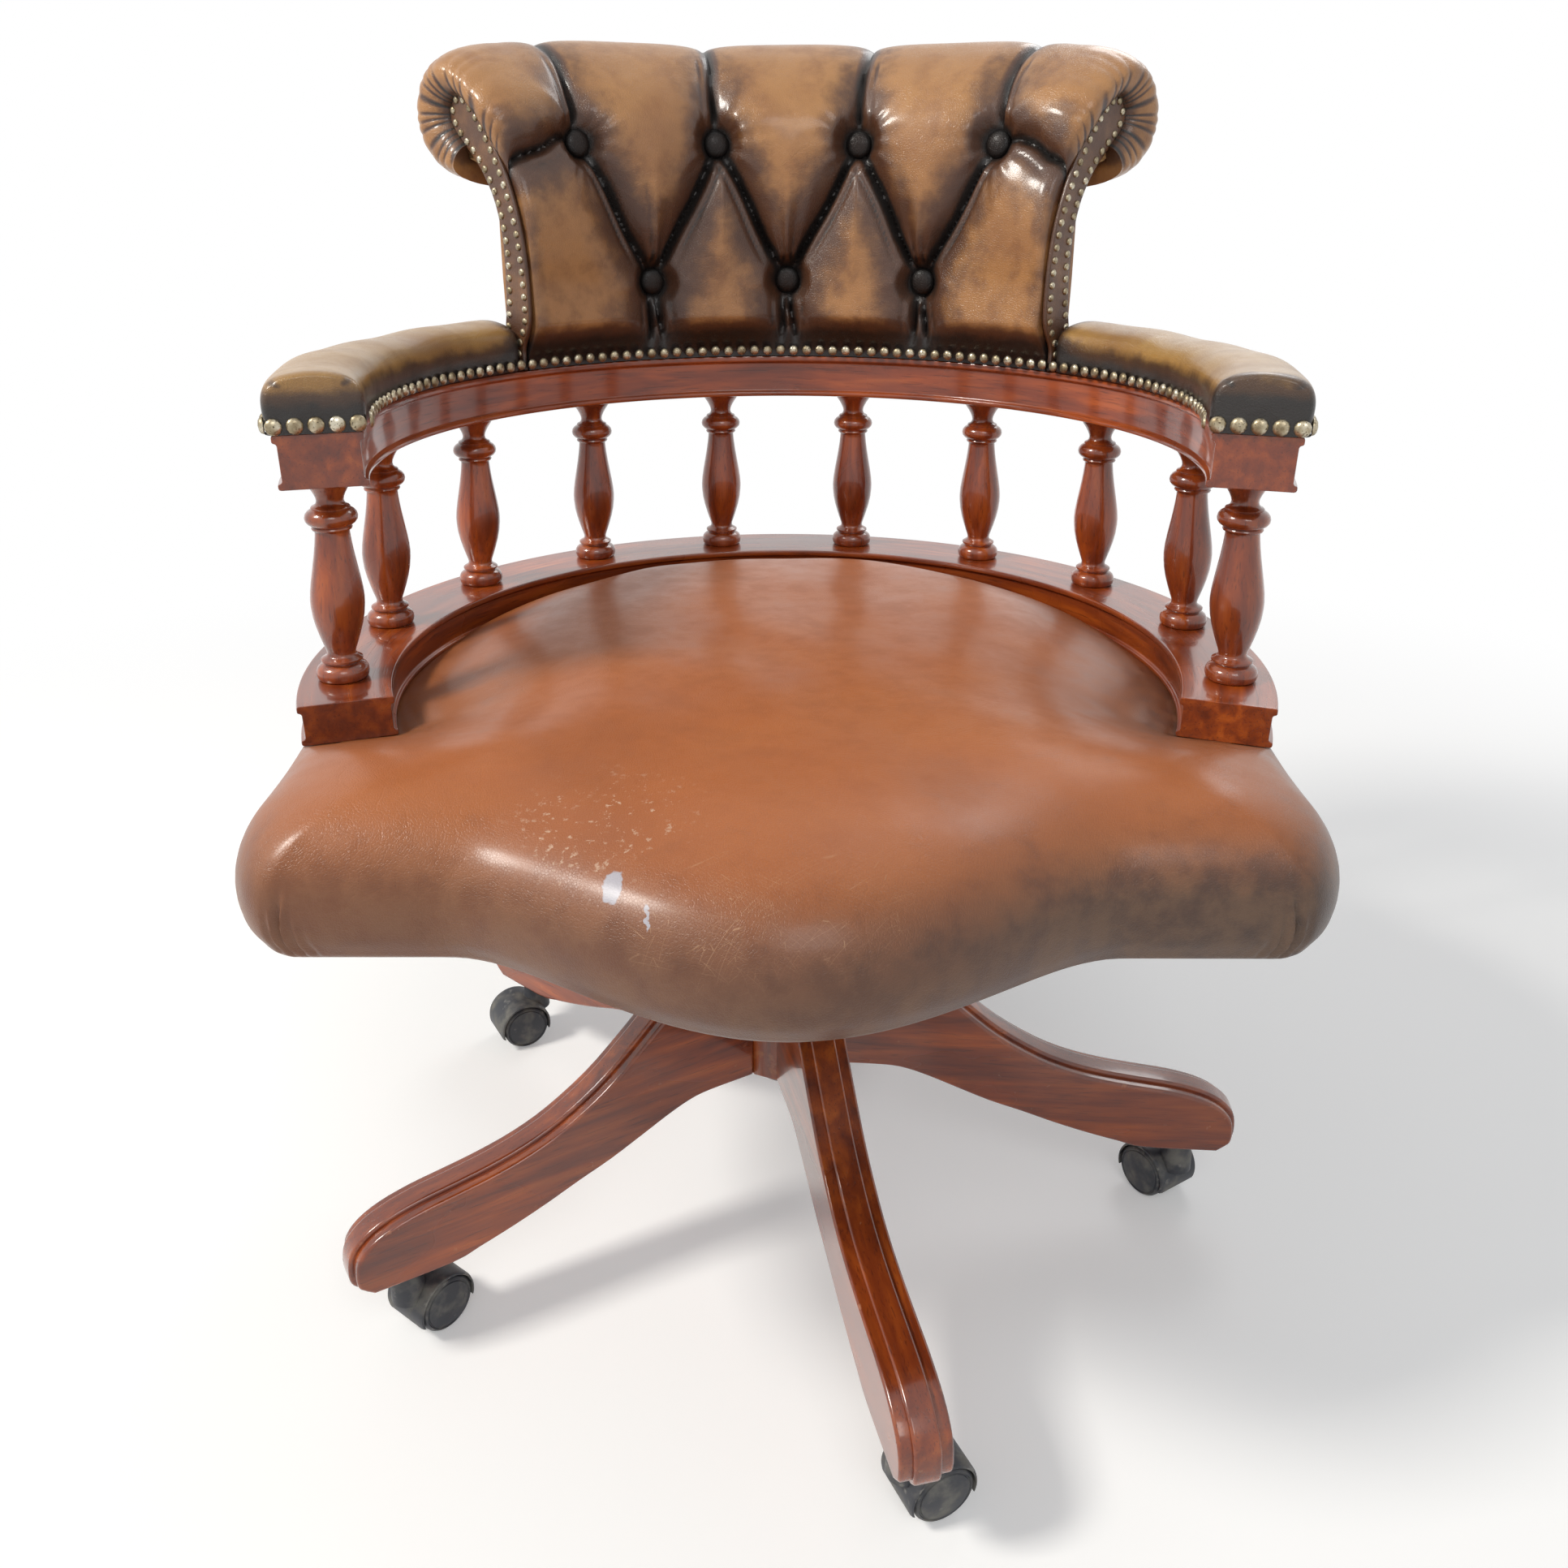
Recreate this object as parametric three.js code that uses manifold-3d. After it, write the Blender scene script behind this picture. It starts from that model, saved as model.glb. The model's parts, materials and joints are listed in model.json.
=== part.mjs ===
// Captains chair: a turned-spindle desk chair with a buttoned scroll back, on a
// swivelling and tilting gas column and a five-legged wooden base with twin-wheel castors.
// Millimetres, +Z up. The sitter faces -Y; ring angles are read from the back (+Y) towards +X.
import * as THREE from 'three';
import { mergeVertices } from 'three/addons/utils/BufferGeometryUtils.js';
import Module from 'manifold-3d';

const wasm = await Module();
wasm.setup();

// Fits shared by the whole chair
const seatGap = 0.3;
const runningGap = 0.6;
const cutOverrun = 3;

// Wooden base
const legReach = 341;
const legWidth = 33;
const legFootHeight = 68;
const legPanelHeight = 3;
const legPanelWidth = 17;
const hubFlatRadius = 38;
const hubTopHeight = 252;
const hubLength = 120;
const baseTurnDeg = 13.5;

// Castors. Heights throughout are read from a datum this far below the floor.
const floorHeight = 10;
const castorInset = 38;
const castorTrail = 17;
const wheelRadius = 20.5;
const wheelWidth = 15.5;
const wheelDish = 2;
const wheelAxleRadius = 3;
const hoodShellWall = 1.8;
const hoodWebWidth = 7;
const hoodSkirtHeight = 14;
const stemBossRadius = 10;
const stemBossFoot = 42;
const stemRadius = 5.5;
const stemLength = 38;

// Gas column
const tubeRadius = 25;
const tubeWall = 2;
const tubeDrop = 14;
const tubeProud = 31;
const guideBushLength = 60;
const tubeFloorThickness = 3;
const bearingRadius = 12;
const bearingHeight = 6;
const rodRadius = 5;
const rodCollarRadius = 9;
const rodCollarHeight = 3;
const rodTailLength = 4;
const rodTopDrop = 33;
const cylinderRadius = 14;
const cylinderFootRise = 22;
const cylinderRoofDrop = 21;
const cylinderProud = 46;
const valveRadius = 4;
const valveHeight = 3;

// Tilt mechanism
const plateThickness = 3;
const plateHalfWidth = 90;
const plateFrontY = -120;
const plateBackY = 75;
const housingHalfWidth = 32;
const housingFrontY = -82;
const housingBackY = 50;
const housingFloorDrop = 27;
const housingBackDrop = 4;
const housingFrontRise = 17;
const housingShoulderY = -34;
const lugReach = 34;
const lugThickness = 8;
const lugHalfWidth = 17;
const lugFloorDrop = 11;
const pivotY = -58;
const pivotRise = 5;
const pivotPinRadius = 5;
const earThickness = 3;
const earHalfLength = 15;
const earDrop = 12;
const springBoltY = -99;
const springBoltRadius = 4;
const boltHoleRadius = 9.2;
const knobRadius = 20;
const knobDrop = 67;
const knobHeight = 18;
const springCoilRadius = 11;
const springWireRadius = 1.8;
const springCurls = 5;
const leverY = -12;
const leverPivotX = 40;
const leverDrop = 16;
const leverReach = 200;
const leverRodRadius = 4;
const leverPinRadius = 2.5;
const leverEyeRadius = 6.5;
const leverEyeWidth = 8;
const leverEarWall = 3;
const leverEarReach = 15;
const paddleLength = 52;
const paddleWidth = 26;
const paddleThickness = 7;

// Seat
const ringCentreY = 33;
const seatBackRadius = 310;
const seatFrontY = -239;
const seatWidestHalf = 297;
const seatWidestY = -180;
const seatCornerX = 264;
const bowHalfWidth = 182;
const bowDepth = 77;
const seatBulge = 9;
const seatPuff = 17;
const seatDomeReach = 200;
const seatBaseRise = 26;
const seatHeight = 93;
const seatPanelHeight = 54.7;
const boardThickness = 12;
const boardInset = 16;
const coverThickness = 1.2;
const coverInset = 26;

// Lower and upper rails of the ring
const lowerRailInner = 264;
const lowerRailWidth = 59;
const lowerRailHeight = 26.5;
const lowerRailEndDeg = 110;
const upperRailInner = 262;
const upperRailWidth = 52;
const upperRailHeight = 32;
const upperRailEndDeg = 108;
const railRecess = 2.6;
const railLip = 3.8;
const railEase = 1.2;
const railSteps = 24;

// Spindles
const spindleRadius = 16.8;
const spindleHeight = 130;
const spindlePitchDeg = 22.4;
const spindleFootInset = 31.5;
const spindleHeadInset = 26;
const tenonRadius = 7;
const tenonLength = 12;
const spindleSides = 8;

// Arm pads and nail trim
const padHeight = 35;
const padOverhang = 2;
const trimThickness = 1.8;
const trimHeight = 8;

// Buttoned scroll back
const backHalfDeg = 48.6;
const backFaceRadius = 262;
const backRise = 228;
const backReach = 102;
const tuftDepth = 13;
const tuftReach = 30;
const tuftPitchDeg = 23.6;
const buttonRadius = 10.5;
const buttonHeight = 6;
const boardFrontRadius = 272;
const boardWall = 6;
const panelWall = 3;
const facingWall = 4;

// Levels that follow
const legCount = 5;
const legPitchDeg = 360 / legCount;
const legRun = legReach - hubFlatRadius;
const legRise = hubTopHeight - legFootHeight;
const castorRadius = legReach - castorInset;
const hubBottomHeight = hubTopHeight - hubLength;
const tubeBottomHeight = hubBottomHeight - tubeDrop;
const tubeTopHeight = hubTopHeight + tubeProud;
const rodTopHeight = tubeTopHeight - rodTopDrop;
const cylinderBottomHeight = tubeBottomHeight + cylinderFootRise;
const cylinderRoofHeight = tubeTopHeight - cylinderRoofDrop;
const cylinderTopHeight = tubeTopHeight + cylinderProud;
const housingFloorHeight = cylinderTopHeight - housingFloorDrop;
const housingBackHeight = cylinderTopHeight - housingBackDrop;
const housingFrontHeight = cylinderTopHeight + housingFrontRise;
const lugFloorHeight = cylinderTopHeight - lugFloorDrop;
const leverHeight = cylinderTopHeight - leverDrop;
const knobBottomHeight = cylinderTopHeight - knobDrop;
const pivotHeight = cylinderTopHeight + pivotRise;
const earFootHeight = pivotHeight - earDrop;
const seatBaseHeight = pivotHeight + seatBaseRise;
const seatCrownHeight = seatBaseHeight + seatHeight;
const seatPanelLevel = seatBaseHeight + seatPanelHeight;
const lowerRailOuter = lowerRailInner + lowerRailWidth;
const upperRailOuter = upperRailInner + upperRailWidth;
const spindleBaseRadius = lowerRailInner + spindleFootInset;
const spindleTopRadius = upperRailInner + spindleHeadInset;
const lowerRailFoot = seatPanelLevel + seatGap;
const lowerRailTop = lowerRailFoot + lowerRailHeight;
const spindleFoot = lowerRailTop + seatGap;
const upperRailFoot = spindleFoot + spindleHeight + seatGap;
const upperRailTop = upperRailFoot + upperRailHeight;
const backFoot = upperRailTop + seatGap;

const mahogany = new THREE.MeshStandardMaterial({ color: 0x6b2812, roughness: 0.28, metalness: 0 });
const backLeather = new THREE.MeshStandardMaterial({ color: 0x8a5f33, roughness: 0.38, metalness: 0 });
const seatLeather = new THREE.MeshStandardMaterial({ color: 0xa65f36, roughness: 0.42, metalness: 0 });
const padLeather = new THREE.MeshStandardMaterial({ color: 0x75592c, roughness: 0.4, metalness: 0 });
const darkLeather = new THREE.MeshStandardMaterial({ color: 0x2a1c12, roughness: 0.45, metalness: 0 });
const brass = new THREE.MeshStandardMaterial({ color: 0xa89878, roughness: 0.35, metalness: 0.9 });
const steel = new THREE.MeshStandardMaterial({ color: 0x8d9093, roughness: 0.35, metalness: 0.9 });
const blackSteel = new THREE.MeshStandardMaterial({ color: 0x202122, roughness: 0.5, metalness: 0.4 });
const castorPlastic = new THREE.MeshStandardMaterial({ color: 0x3b3c40, roughness: 0.55, metalness: 0 });
const plywood = new THREE.MeshStandardMaterial({ color: 0xb08b5b, roughness: 0.7, metalness: 0 });
const blackCloth = new THREE.MeshStandardMaterial({ color: 0x161616, roughness: 0.9, metalness: 0 });

const rad = THREE.MathUtils.degToRad;
const point = (x, y) => new THREE.Vector2(x, y);

// A closed geometry as a solid that can be joined and cut; flat triangles at a pole are dropped.
function solid(geometry) {
  const plain = geometry.clone();
  plain.deleteAttribute('normal');
  plain.deleteAttribute('uv');
  const merged = mergeVertices(plain);
  const corners = merged.index.array;
  const kept = [];
  for (let i = 0; i < corners.length; i += 3) {
    const [a, b, c] = [corners[i], corners[i + 1], corners[i + 2]];
    if (a !== b && b !== c && c !== a) kept.push(a, b, c);
  }
  return new wasm.Manifold(new wasm.Mesh({
    numProp: 3,
    vertProperties: new Float32Array(merged.attributes.position.array),
    triVerts: new Uint32Array(kept),
  }));
}

function geometryOf(body) {
  const { vertProperties, triVerts } = body.getMesh();
  const geometry = new THREE.BufferGeometry();
  geometry.setAttribute('position', new THREE.BufferAttribute(vertProperties, 3));
  geometry.setIndex(new THREE.BufferAttribute(triVerts, 1));
  geometry.computeVertexNormals();
  return geometry;
}

function piece(name, shape, material, parent) {
  const geometry = shape.isBufferGeometry ? shape : geometryOf(shape);
  const mesh = new THREE.Mesh(geometry, material);
  mesh.name = name;
  parent.add(mesh);
  return mesh;
}

// A profile of [radius, height] points turned about Z.
function turned(profile, sides) {
  const points = profile.map(([r, z]) => point(r, z));
  return new THREE.LatheGeometry(points, sides).rotateX(Math.PI / 2);
}

// A closed skin over sections of equal count; each section is written anticlockwise as seen
// looking back from the next one. The ends are closed along a flat outline of the same points.
function loft(sections, firstOutline, lastOutline = firstOutline) {
  const around = sections[0].length;
  const positions = sections.flat().flatMap((p) => [p.x, p.y, p.z]);
  const faces = [];
  for (let s = 0; s + 1 < sections.length; s += 1) {
    for (let i = 0; i < around; i += 1) {
      const [a, b] = [s * around + i, s * around + (i + 1) % around];
      faces.push(a, b, b + around, a, b + around, a + around);
    }
  }
  const lastStart = (sections.length - 1) * around;
  for (const [a, b, c] of THREE.ShapeUtils.triangulateShape(firstOutline, [])) faces.push(a, c, b);
  for (const [a, b, c] of THREE.ShapeUtils.triangulateShape(lastOutline, [])) {
    faces.push(lastStart + a, lastStart + b, lastStart + c);
  }
  const geometry = new THREE.BufferGeometry();
  geometry.setAttribute('position', new THREE.Float32BufferAttribute(positions, 3));
  geometry.setIndex(faces);
  return geometry;
}

// A section of (radius, height) points stood at one ring angle.
function ringSection(outline, deg) {
  const turn = rad(deg);
  return outline.map((p) => new THREE.Vector3(p.x * Math.sin(turn), p.x * Math.cos(turn), p.y));
}

// A closed profile, written anticlockwise, swept round Z between two ring angles.
function sweptRing(profile, fromDeg, toDeg, steps) {
  const outline = profile.map(([r, z]) => point(r, z));
  const sections = [];
  for (let s = 0; s <= steps; s += 1) {
    sections.push(ringSection(outline, fromDeg + (toDeg - fromDeg) * s / steps));
  }
  return loft(sections, outline);
}

// A vertical prism of a plan outline.
function prism(outline, bottom, top, holes = []) {
  const shape = new THREE.Shape(outline);
  for (const hole of holes) shape.holes.push(new THREE.Path(hole));
  return new THREE.ExtrudeGeometry(shape, { depth: top - bottom, bevelEnabled: false })
    .translate(0, 0, bottom);
}

// A plate whose outline is drawn in X and Z, centred on y.
function sidePlate(outline, width, y = 0) {
  return new THREE.ExtrudeGeometry(new THREE.Shape(outline), { depth: width, bevelEnabled: false })
    .rotateX(Math.PI / 2).translate(0, y + width / 2, 0);
}

// A block whose outline is drawn in Y and Z, spanning two X values.
function crossBlock(outline, fromX, toX) {
  const shape = new THREE.Shape(outline);
  const geometry = new THREE.ExtrudeGeometry(shape, { depth: toX - fromX, bevelEnabled: false });
  return geometry.rotateX(Math.PI / 2).rotateZ(Math.PI / 2).translate(fromX, 0, 0);
}

function rod(radius, from, to, sides) {
  const axis = to.clone().sub(from);
  const geometry = new THREE.CylinderGeometry(radius, radius, axis.length(), sides);
  const up = new THREE.Vector3(0, 1, 0);
  geometry.applyQuaternion(new THREE.Quaternion().setFromUnitVectors(up, axis.clone().normalize()));
  const middle = from.clone().lerp(to, 1 / 2);
  return geometry.translate(middle.x, middle.y, middle.z);
}

const at = (x, y, z) => new THREE.Vector3(x, y, z);

// The corner radius of a bore of so many sides whose flats clear a round part by the gap.
const boreRadius = (radius, sides, gap = seatGap) => (radius + gap) / Math.cos(Math.PI / sides);

// The side of a leg, as shares of its run out from the hub and of its rise above the castor flat.
const legTopShares = [
  [0, 1], [0.073, 0.978], [0.155, 0.891], [0.238, 0.766], [0.32, 0.641], [0.403, 0.527], [0.502, 0.429],
  [0.584, 0.375], [0.667, 0.342], [0.749, 0.321], [0.832, 0.302], [0.904, 0.272], [0.957, 0.228],
  [0.99, 0.168], [1, 0.098], [0.997, 0.04], [0.98, 0.008],
];
const legUnderShares = [
  [0.957, 0], [0.782, 0], [0.716, 0.024], [0.634, 0.06], [0.551, 0.103], [0.469, 0.152], [0.386, 0.198],
  [0.304, 0.255], [0.238, 0.302], [0.178, 0.337], [0.122, 0.35], [0, 0.35],
];

function legPoints(shares, drop = 0) {
  const points = shares.map(([run, rise]) => point(
    hubFlatRadius + run * legRun,
    legFootHeight + rise * legRise,
  ));
  return points.map((p, i) => {
    if (drop === 0) return p;
    const before = points[Math.max(i - 1, 0)];
    const after = points[Math.min(i + 1, points.length - 1)];
    const along = after.clone().sub(before).normalize();
    const inward = i === 0 ? point(0, -1) : point(along.y, -along.x);
    return p.clone().addScaledVector(inward, drop);
  });
}

function makeLeg() {
  const under = legPoints(legUnderShares);
  const body = solid(sidePlate([...legPoints(legTopShares, legPanelHeight), ...under].reverse(), legWidth));
  const panel = solid(sidePlate([...legPoints(legTopShares), ...under].reverse(), legPanelWidth));
  const bore = rod(
    boreRadius(stemRadius, 10),
    at(castorRadius, 0, legFootHeight - cutOverrun),
    at(castorRadius, 0, legFootHeight + stemLength + cutOverrun),
    10,
  );
  return body.add(panel).subtract(solid(bore));
}

function hubOutline() {
  const corners = [];
  for (let k = 0; k < legCount; k += 1) {
    const turn = rad(k * legPitchDeg);
    for (const side of [-1, 1]) {
      corners.push(point(hubFlatRadius - seatGap, side * legWidth / 2).rotateAround(point(0, 0), turn));
    }
  }
  return corners;
}

// Castor: the hood, its web and its stem are one moulding; the wheels share an axle.
const wheelSides = 16;
const wheelCorner = wheelRadius / Math.cos(Math.PI / wheelSides);
const wheelInnerFace = hoodWebWidth / 2 + runningGap;
const wheelOuterFace = wheelInnerFace + wheelWidth;

function makeCastorHood() {
  const axleHeight = floorHeight + wheelRadius;
  const axle = at(castorTrail, 0, axleHeight);
  const across = (radius, fromY, toY, sides) => solid(rod(
    radius,
    axle.clone().setY(fromY),
    axle.clone().setY(toY),
    sides,
  ));
  const wellRadius = wheelCorner + runningGap;
  const bossTop = legFootHeight - seatGap;
  const boss = rod(stemBossRadius, at(0, 0, stemBossFoot), at(0, 0, bossTop), 12);
  const stem = rod(stemRadius, at(0, 0, bossTop - cutOverrun), at(0, 0, bossTop + stemLength), 10);
  const reach = 2 * (wellRadius + hoodShellWall) + castorTrail;
  const skirt = new THREE.BoxGeometry(reach, reach, 2 * hoodSkirtHeight)
    .translate(castorTrail, 0, floorHeight);
  const shell = across(wellRadius + hoodShellWall, -wheelOuterFace, wheelOuterFace, wheelSides);
  const wells = [-1, 1].map((side) => across(
    wellRadius,
    side * hoodWebWidth / 2,
    side * (wheelOuterFace + cutOverrun),
    wheelSides,
  ));
  const hole = across(boreRadius(wheelAxleRadius, 8), -hoodWebWidth, hoodWebWidth, 8);
  return shell.add(solid(boss)).subtract(wells[0]).subtract(wells[1]).subtract(solid(skirt))
    .subtract(hole).add(solid(stem));
}

function makeCastorWheels() {
  const half = [
    [0, wheelOuterFace + wheelDish],
    [wheelCorner, wheelOuterFace - wheelDish],
    [wheelCorner, wheelInnerFace],
    [wheelAxleRadius, wheelInnerFace],
  ];
  const mirrored = half.map(([r, y]) => [r, -y]);
  const profile = [...mirrored, ...half.reverse()];
  const points = profile.map(([r, y]) => point(r, y));
  return new THREE.LatheGeometry(points, wheelSides)
    .rotateY(Math.PI / wheelSides)
    .translate(castorTrail, 0, floorHeight + wheelRadius);
}

// Base: five legs round a hub. Each castor's heading is the one it stands at in the photograph.
const chair = new THREE.Group();
const base = new THREE.Group();
chair.add(base);

const legPlaces = [
  ['front', 25],
  ['right', 123],
  ['back_right', 20],
  ['back_left', -150],
  ['left', 52],
];
const legBody = makeLeg();
const hoodBody = makeCastorHood();

const hubShape = solid(prism(hubOutline(), hubBottomHeight, hubTopHeight))
  .subtract(solid(rod(
    boreRadius(tubeRadius, 16),
    at(0, 0, hubBottomHeight - cutOverrun),
    at(0, 0, hubTopHeight + cutOverrun),
    16,
  )));
const hub = piece('hub', hubShape, mahogany, base);
hub.rotation.z = rad(baseTurnDeg - 90);

legPlaces.forEach(([place, headingDeg], k) => {
  const leg = new THREE.Group();
  const legTurnDeg = baseTurnDeg + k * legPitchDeg - 90;
  leg.rotation.z = rad(legTurnDeg);
  base.add(leg);
  piece(`leg_${place}`, legBody, mahogany, leg);
  const castor = new THREE.Group();
  castor.position.x = castorRadius;
  castor.rotation.z = rad(headingDeg - legTurnDeg);
  leg.add(castor);
  piece(`castor_hood_${place}`, hoodBody, castorPlastic, castor);
  piece(`castor_wheels_${place}`, makeCastorWheels(), castorPlastic, castor);
});

// Gas column: the tube is held in the hub, the rod turns on a thrust bearing, the cylinder slides.
const tubeFloor = tubeBottomHeight + tubeFloorThickness;
const guideRadius = boreRadius(cylinderRadius, 16);
const rodBore = boreRadius(rodRadius, 16);
piece('gas_tube', turned([
  [rodBore, tubeBottomHeight],
  [tubeRadius, tubeBottomHeight],
  [tubeRadius, tubeTopHeight],
  [guideRadius, tubeTopHeight],
  [guideRadius, tubeTopHeight - guideBushLength],
  [tubeRadius - tubeWall, tubeTopHeight - guideBushLength],
  [tubeRadius - tubeWall, tubeFloor],
  [rodBore, tubeFloor],
  [rodBore, tubeBottomHeight],
], 16), blackSteel, base);

const bearingFoot = tubeFloor + seatGap;
piece('thrust_bearing', turned([
  [rodBore, bearingFoot],
  [bearingRadius, bearingFoot],
  [bearingRadius, bearingFoot + bearingHeight],
  [rodBore, bearingFoot + bearingHeight],
  [rodBore, bearingFoot],
], 16), steel, base);

const collarFoot = bearingFoot + bearingHeight + seatGap;
piece('piston_rod', turned([
  [0, tubeBottomHeight - rodTailLength],
  [rodRadius, tubeBottomHeight - rodTailLength],
  [rodRadius, collarFoot],
  [rodCollarRadius, collarFoot],
  [rodCollarRadius, collarFoot + rodCollarHeight],
  [rodRadius, collarFoot + rodCollarHeight],
  [rodRadius, rodTopHeight],
  [0, rodTopHeight],
], 16), steel, base);

const column = new THREE.Group();
chair.add(column);
piece('gas_cylinder', turned([
  [0, cylinderRoofHeight],
  [rodBore, cylinderRoofHeight],
  [rodBore, cylinderBottomHeight],
  [cylinderRadius, cylinderBottomHeight],
  [cylinderRadius, cylinderTopHeight],
  [valveRadius, cylinderTopHeight],
  [valveRadius, cylinderTopHeight + valveHeight],
  [0, cylinderTopHeight + valveHeight],
], 16), blackSteel, column);

// Tilt housing: a steel box on the cylinder's head, with a lug in front for the spring bolt.
const plateFoot = seatBaseHeight - seatGap - plateThickness;
const lugFrontY = housingFrontY - lugReach;
const housingBlock = solid(crossBlock([
  point(housingFrontY, housingFloorHeight),
  point(housingBackY, housingFloorHeight),
  point(housingBackY, housingBackHeight),
  point(housingShoulderY, housingFrontHeight),
  point(housingFrontY, housingFrontHeight),
], -housingHalfWidth, housingHalfWidth));
const lug = solid(crossBlock([
  point(lugFrontY, lugFloorHeight),
  point(housingFrontY + cutOverrun, lugFloorHeight),
  point(housingFrontY + cutOverrun, lugFloorHeight + lugThickness),
  point(lugFrontY, lugFloorHeight + lugThickness),
], -lugHalfWidth, lugHalfWidth));
const leverEarOffset = leverEyeWidth / 2 + seatGap;
const leverEars = [-1, 1].map((side) => {
  const nearY = leverY + side * leverEarOffset;
  const farY = leverY + side * (leverEarOffset + leverEarWall);
  return solid(sidePlate([
    point(housingHalfWidth - cutOverrun, leverHeight - leverEyeRadius),
    point(housingHalfWidth + leverEarReach, leverHeight - leverEyeRadius),
    point(housingHalfWidth + leverEarReach, leverHeight + leverEyeRadius),
    point(housingHalfWidth - cutOverrun, leverHeight + leverEyeRadius),
  ], leverEarWall, (nearY + farY) / 2));
});
const housingShape = housingBlock.add(lug).add(leverEars[0]).add(leverEars[1])
  .subtract(solid(rod(
    boreRadius(cylinderRadius, 16),
    at(0, 0, housingFloorHeight - cutOverrun),
    at(0, 0, cylinderTopHeight + seatGap),
    16,
  )))
  .subtract(solid(rod(
    boreRadius(valveRadius, 8),
    at(0, 0, cylinderTopHeight),
    at(0, 0, cylinderTopHeight + valveHeight + seatGap),
    8,
  )))
  .subtract(solid(rod(
    boreRadius(pivotPinRadius, 12),
    at(-housingHalfWidth - cutOverrun, pivotY, pivotHeight),
    at(housingHalfWidth + cutOverrun, pivotY, pivotHeight),
    12,
  )))
  .subtract(solid(rod(
    boltHoleRadius,
    at(0, springBoltY, lugFloorHeight - cutOverrun),
    at(0, springBoltY, lugFloorHeight + lugThickness + cutOverrun),
    16,
  )))
  .subtract(solid(rod(
    boreRadius(leverPinRadius, 10),
    at(leverPivotX, leverY - leverEarOffset - leverEarWall - cutOverrun, leverHeight),
    at(leverPivotX, leverY + leverEarOffset + leverEarWall + cutOverrun, leverHeight),
    10,
  )));
piece('tilt_housing', housingShape, blackSteel, column);

const leverEye = solid(rod(
  leverEyeRadius,
  at(leverPivotX, leverY - leverEyeWidth / 2, leverHeight),
  at(leverPivotX, leverY + leverEyeWidth / 2, leverHeight),
  14,
));
const leverRod = solid(rod(
  leverRodRadius,
  at(leverPivotX, leverY, leverHeight),
  at(leverReach - paddleLength / 2, leverY, leverHeight),
  10,
));
const paddle = solid(new THREE.BoxGeometry(paddleLength, paddleWidth, paddleThickness)
  .translate(leverReach - paddleLength / 2, leverY, leverHeight));
const leverHole = solid(rod(
  boreRadius(leverPinRadius, 10),
  at(leverPivotX, leverY - leverEyeWidth, leverHeight),
  at(leverPivotX, leverY + leverEyeWidth, leverHeight),
  10,
));
piece('height_lever', leverEye.add(leverRod).add(paddle).subtract(leverHole), blackSteel, column);
piece('lever_pin', rod(
  leverPinRadius,
  at(leverPivotX, leverY - leverEarOffset - leverEarWall, leverHeight),
  at(leverPivotX, leverY + leverEarOffset + leverEarWall, leverHeight),
  10,
), steel, column);

// Tilt spring: one wire wound round the bolt, between the lug and the knob.
const springTop = lugFloorHeight - seatGap - springWireRadius;
const springFoot = knobBottomHeight + knobHeight + seatGap + springWireRadius;
class SpringLine extends THREE.Curve {
  getPoint(t, target = new THREE.Vector3()) {
    const turn = 2 * Math.PI * springCurls * t;
    return target.set(
      springCoilRadius * Math.cos(turn),
      springBoltY + springCoilRadius * Math.sin(turn),
      springFoot + (springTop - springFoot) * t,
    );
  }
}
const springSides = 5;
const springSteps = 8 * springCurls;
const wireOutline = new THREE.Shape();
for (let k = 0; k < springSides; k += 1) {
  const corner = point(springWireRadius, 0).rotateAround(point(0, 0), 2 * Math.PI * k / springSides);
  if (k === 0) wireOutline.moveTo(corner.x, corner.y);
  else wireOutline.lineTo(corner.x, corner.y);
}
const springPitch = (springTop - springFoot) / springCurls;
console.log(`least gap between the spring's curls ${(springPitch - 2 * springWireRadius).toFixed(2)} mm`);
piece('tilt_spring', new THREE.ExtrudeGeometry(wireOutline, {
  steps: springSteps,
  extrudePath: new SpringLine(),
}), steel, column);

// Seat: everything that tilts
const seat = new THREE.Group();
chair.add(seat);

piece('tension_knob', turned([
  [0, knobBottomHeight],
  [knobRadius, knobBottomHeight],
  [knobRadius, knobBottomHeight + knobHeight],
  [springBoltRadius, knobBottomHeight + knobHeight],
  [springBoltRadius, plateFoot - seatGap],
  [0, plateFoot - seatGap],
], 16).translate(0, springBoltY, 0), blackSteel, seat);

const plateTop = seatBaseHeight - seatGap;
const earInner = housingHalfWidth + runningGap;
const earOuter = earInner + earThickness;
const plateSheet = new THREE.BoxGeometry(2 * plateHalfWidth, plateBackY - plateFrontY, plateThickness)
  .translate(0, (plateBackY + plateFrontY) / 2, plateTop - plateThickness / 2);
const pinHole = solid(rod(
  boreRadius(pivotPinRadius, 12),
  at(-earOuter - cutOverrun, pivotY, pivotHeight),
  at(earOuter + cutOverrun, pivotY, pivotHeight),
  12,
));
let plateShape = solid(plateSheet);
for (const side of [-1, 1]) {
  const ear = new THREE.BoxGeometry(earThickness, 2 * earHalfLength, plateTop - earFootHeight)
    .translate(side * (earInner + earThickness / 2), pivotY, (plateTop + earFootHeight) / 2);
  plateShape = plateShape.add(solid(ear));
}
piece('seat_plate', plateShape.subtract(pinHole), blackSteel, seat);
piece('pivot_pin', rod(
  pivotPinRadius,
  at(-earOuter, pivotY, pivotHeight),
  at(earOuter, pivotY, pivotHeight),
  12,
), steel, seat);

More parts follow.
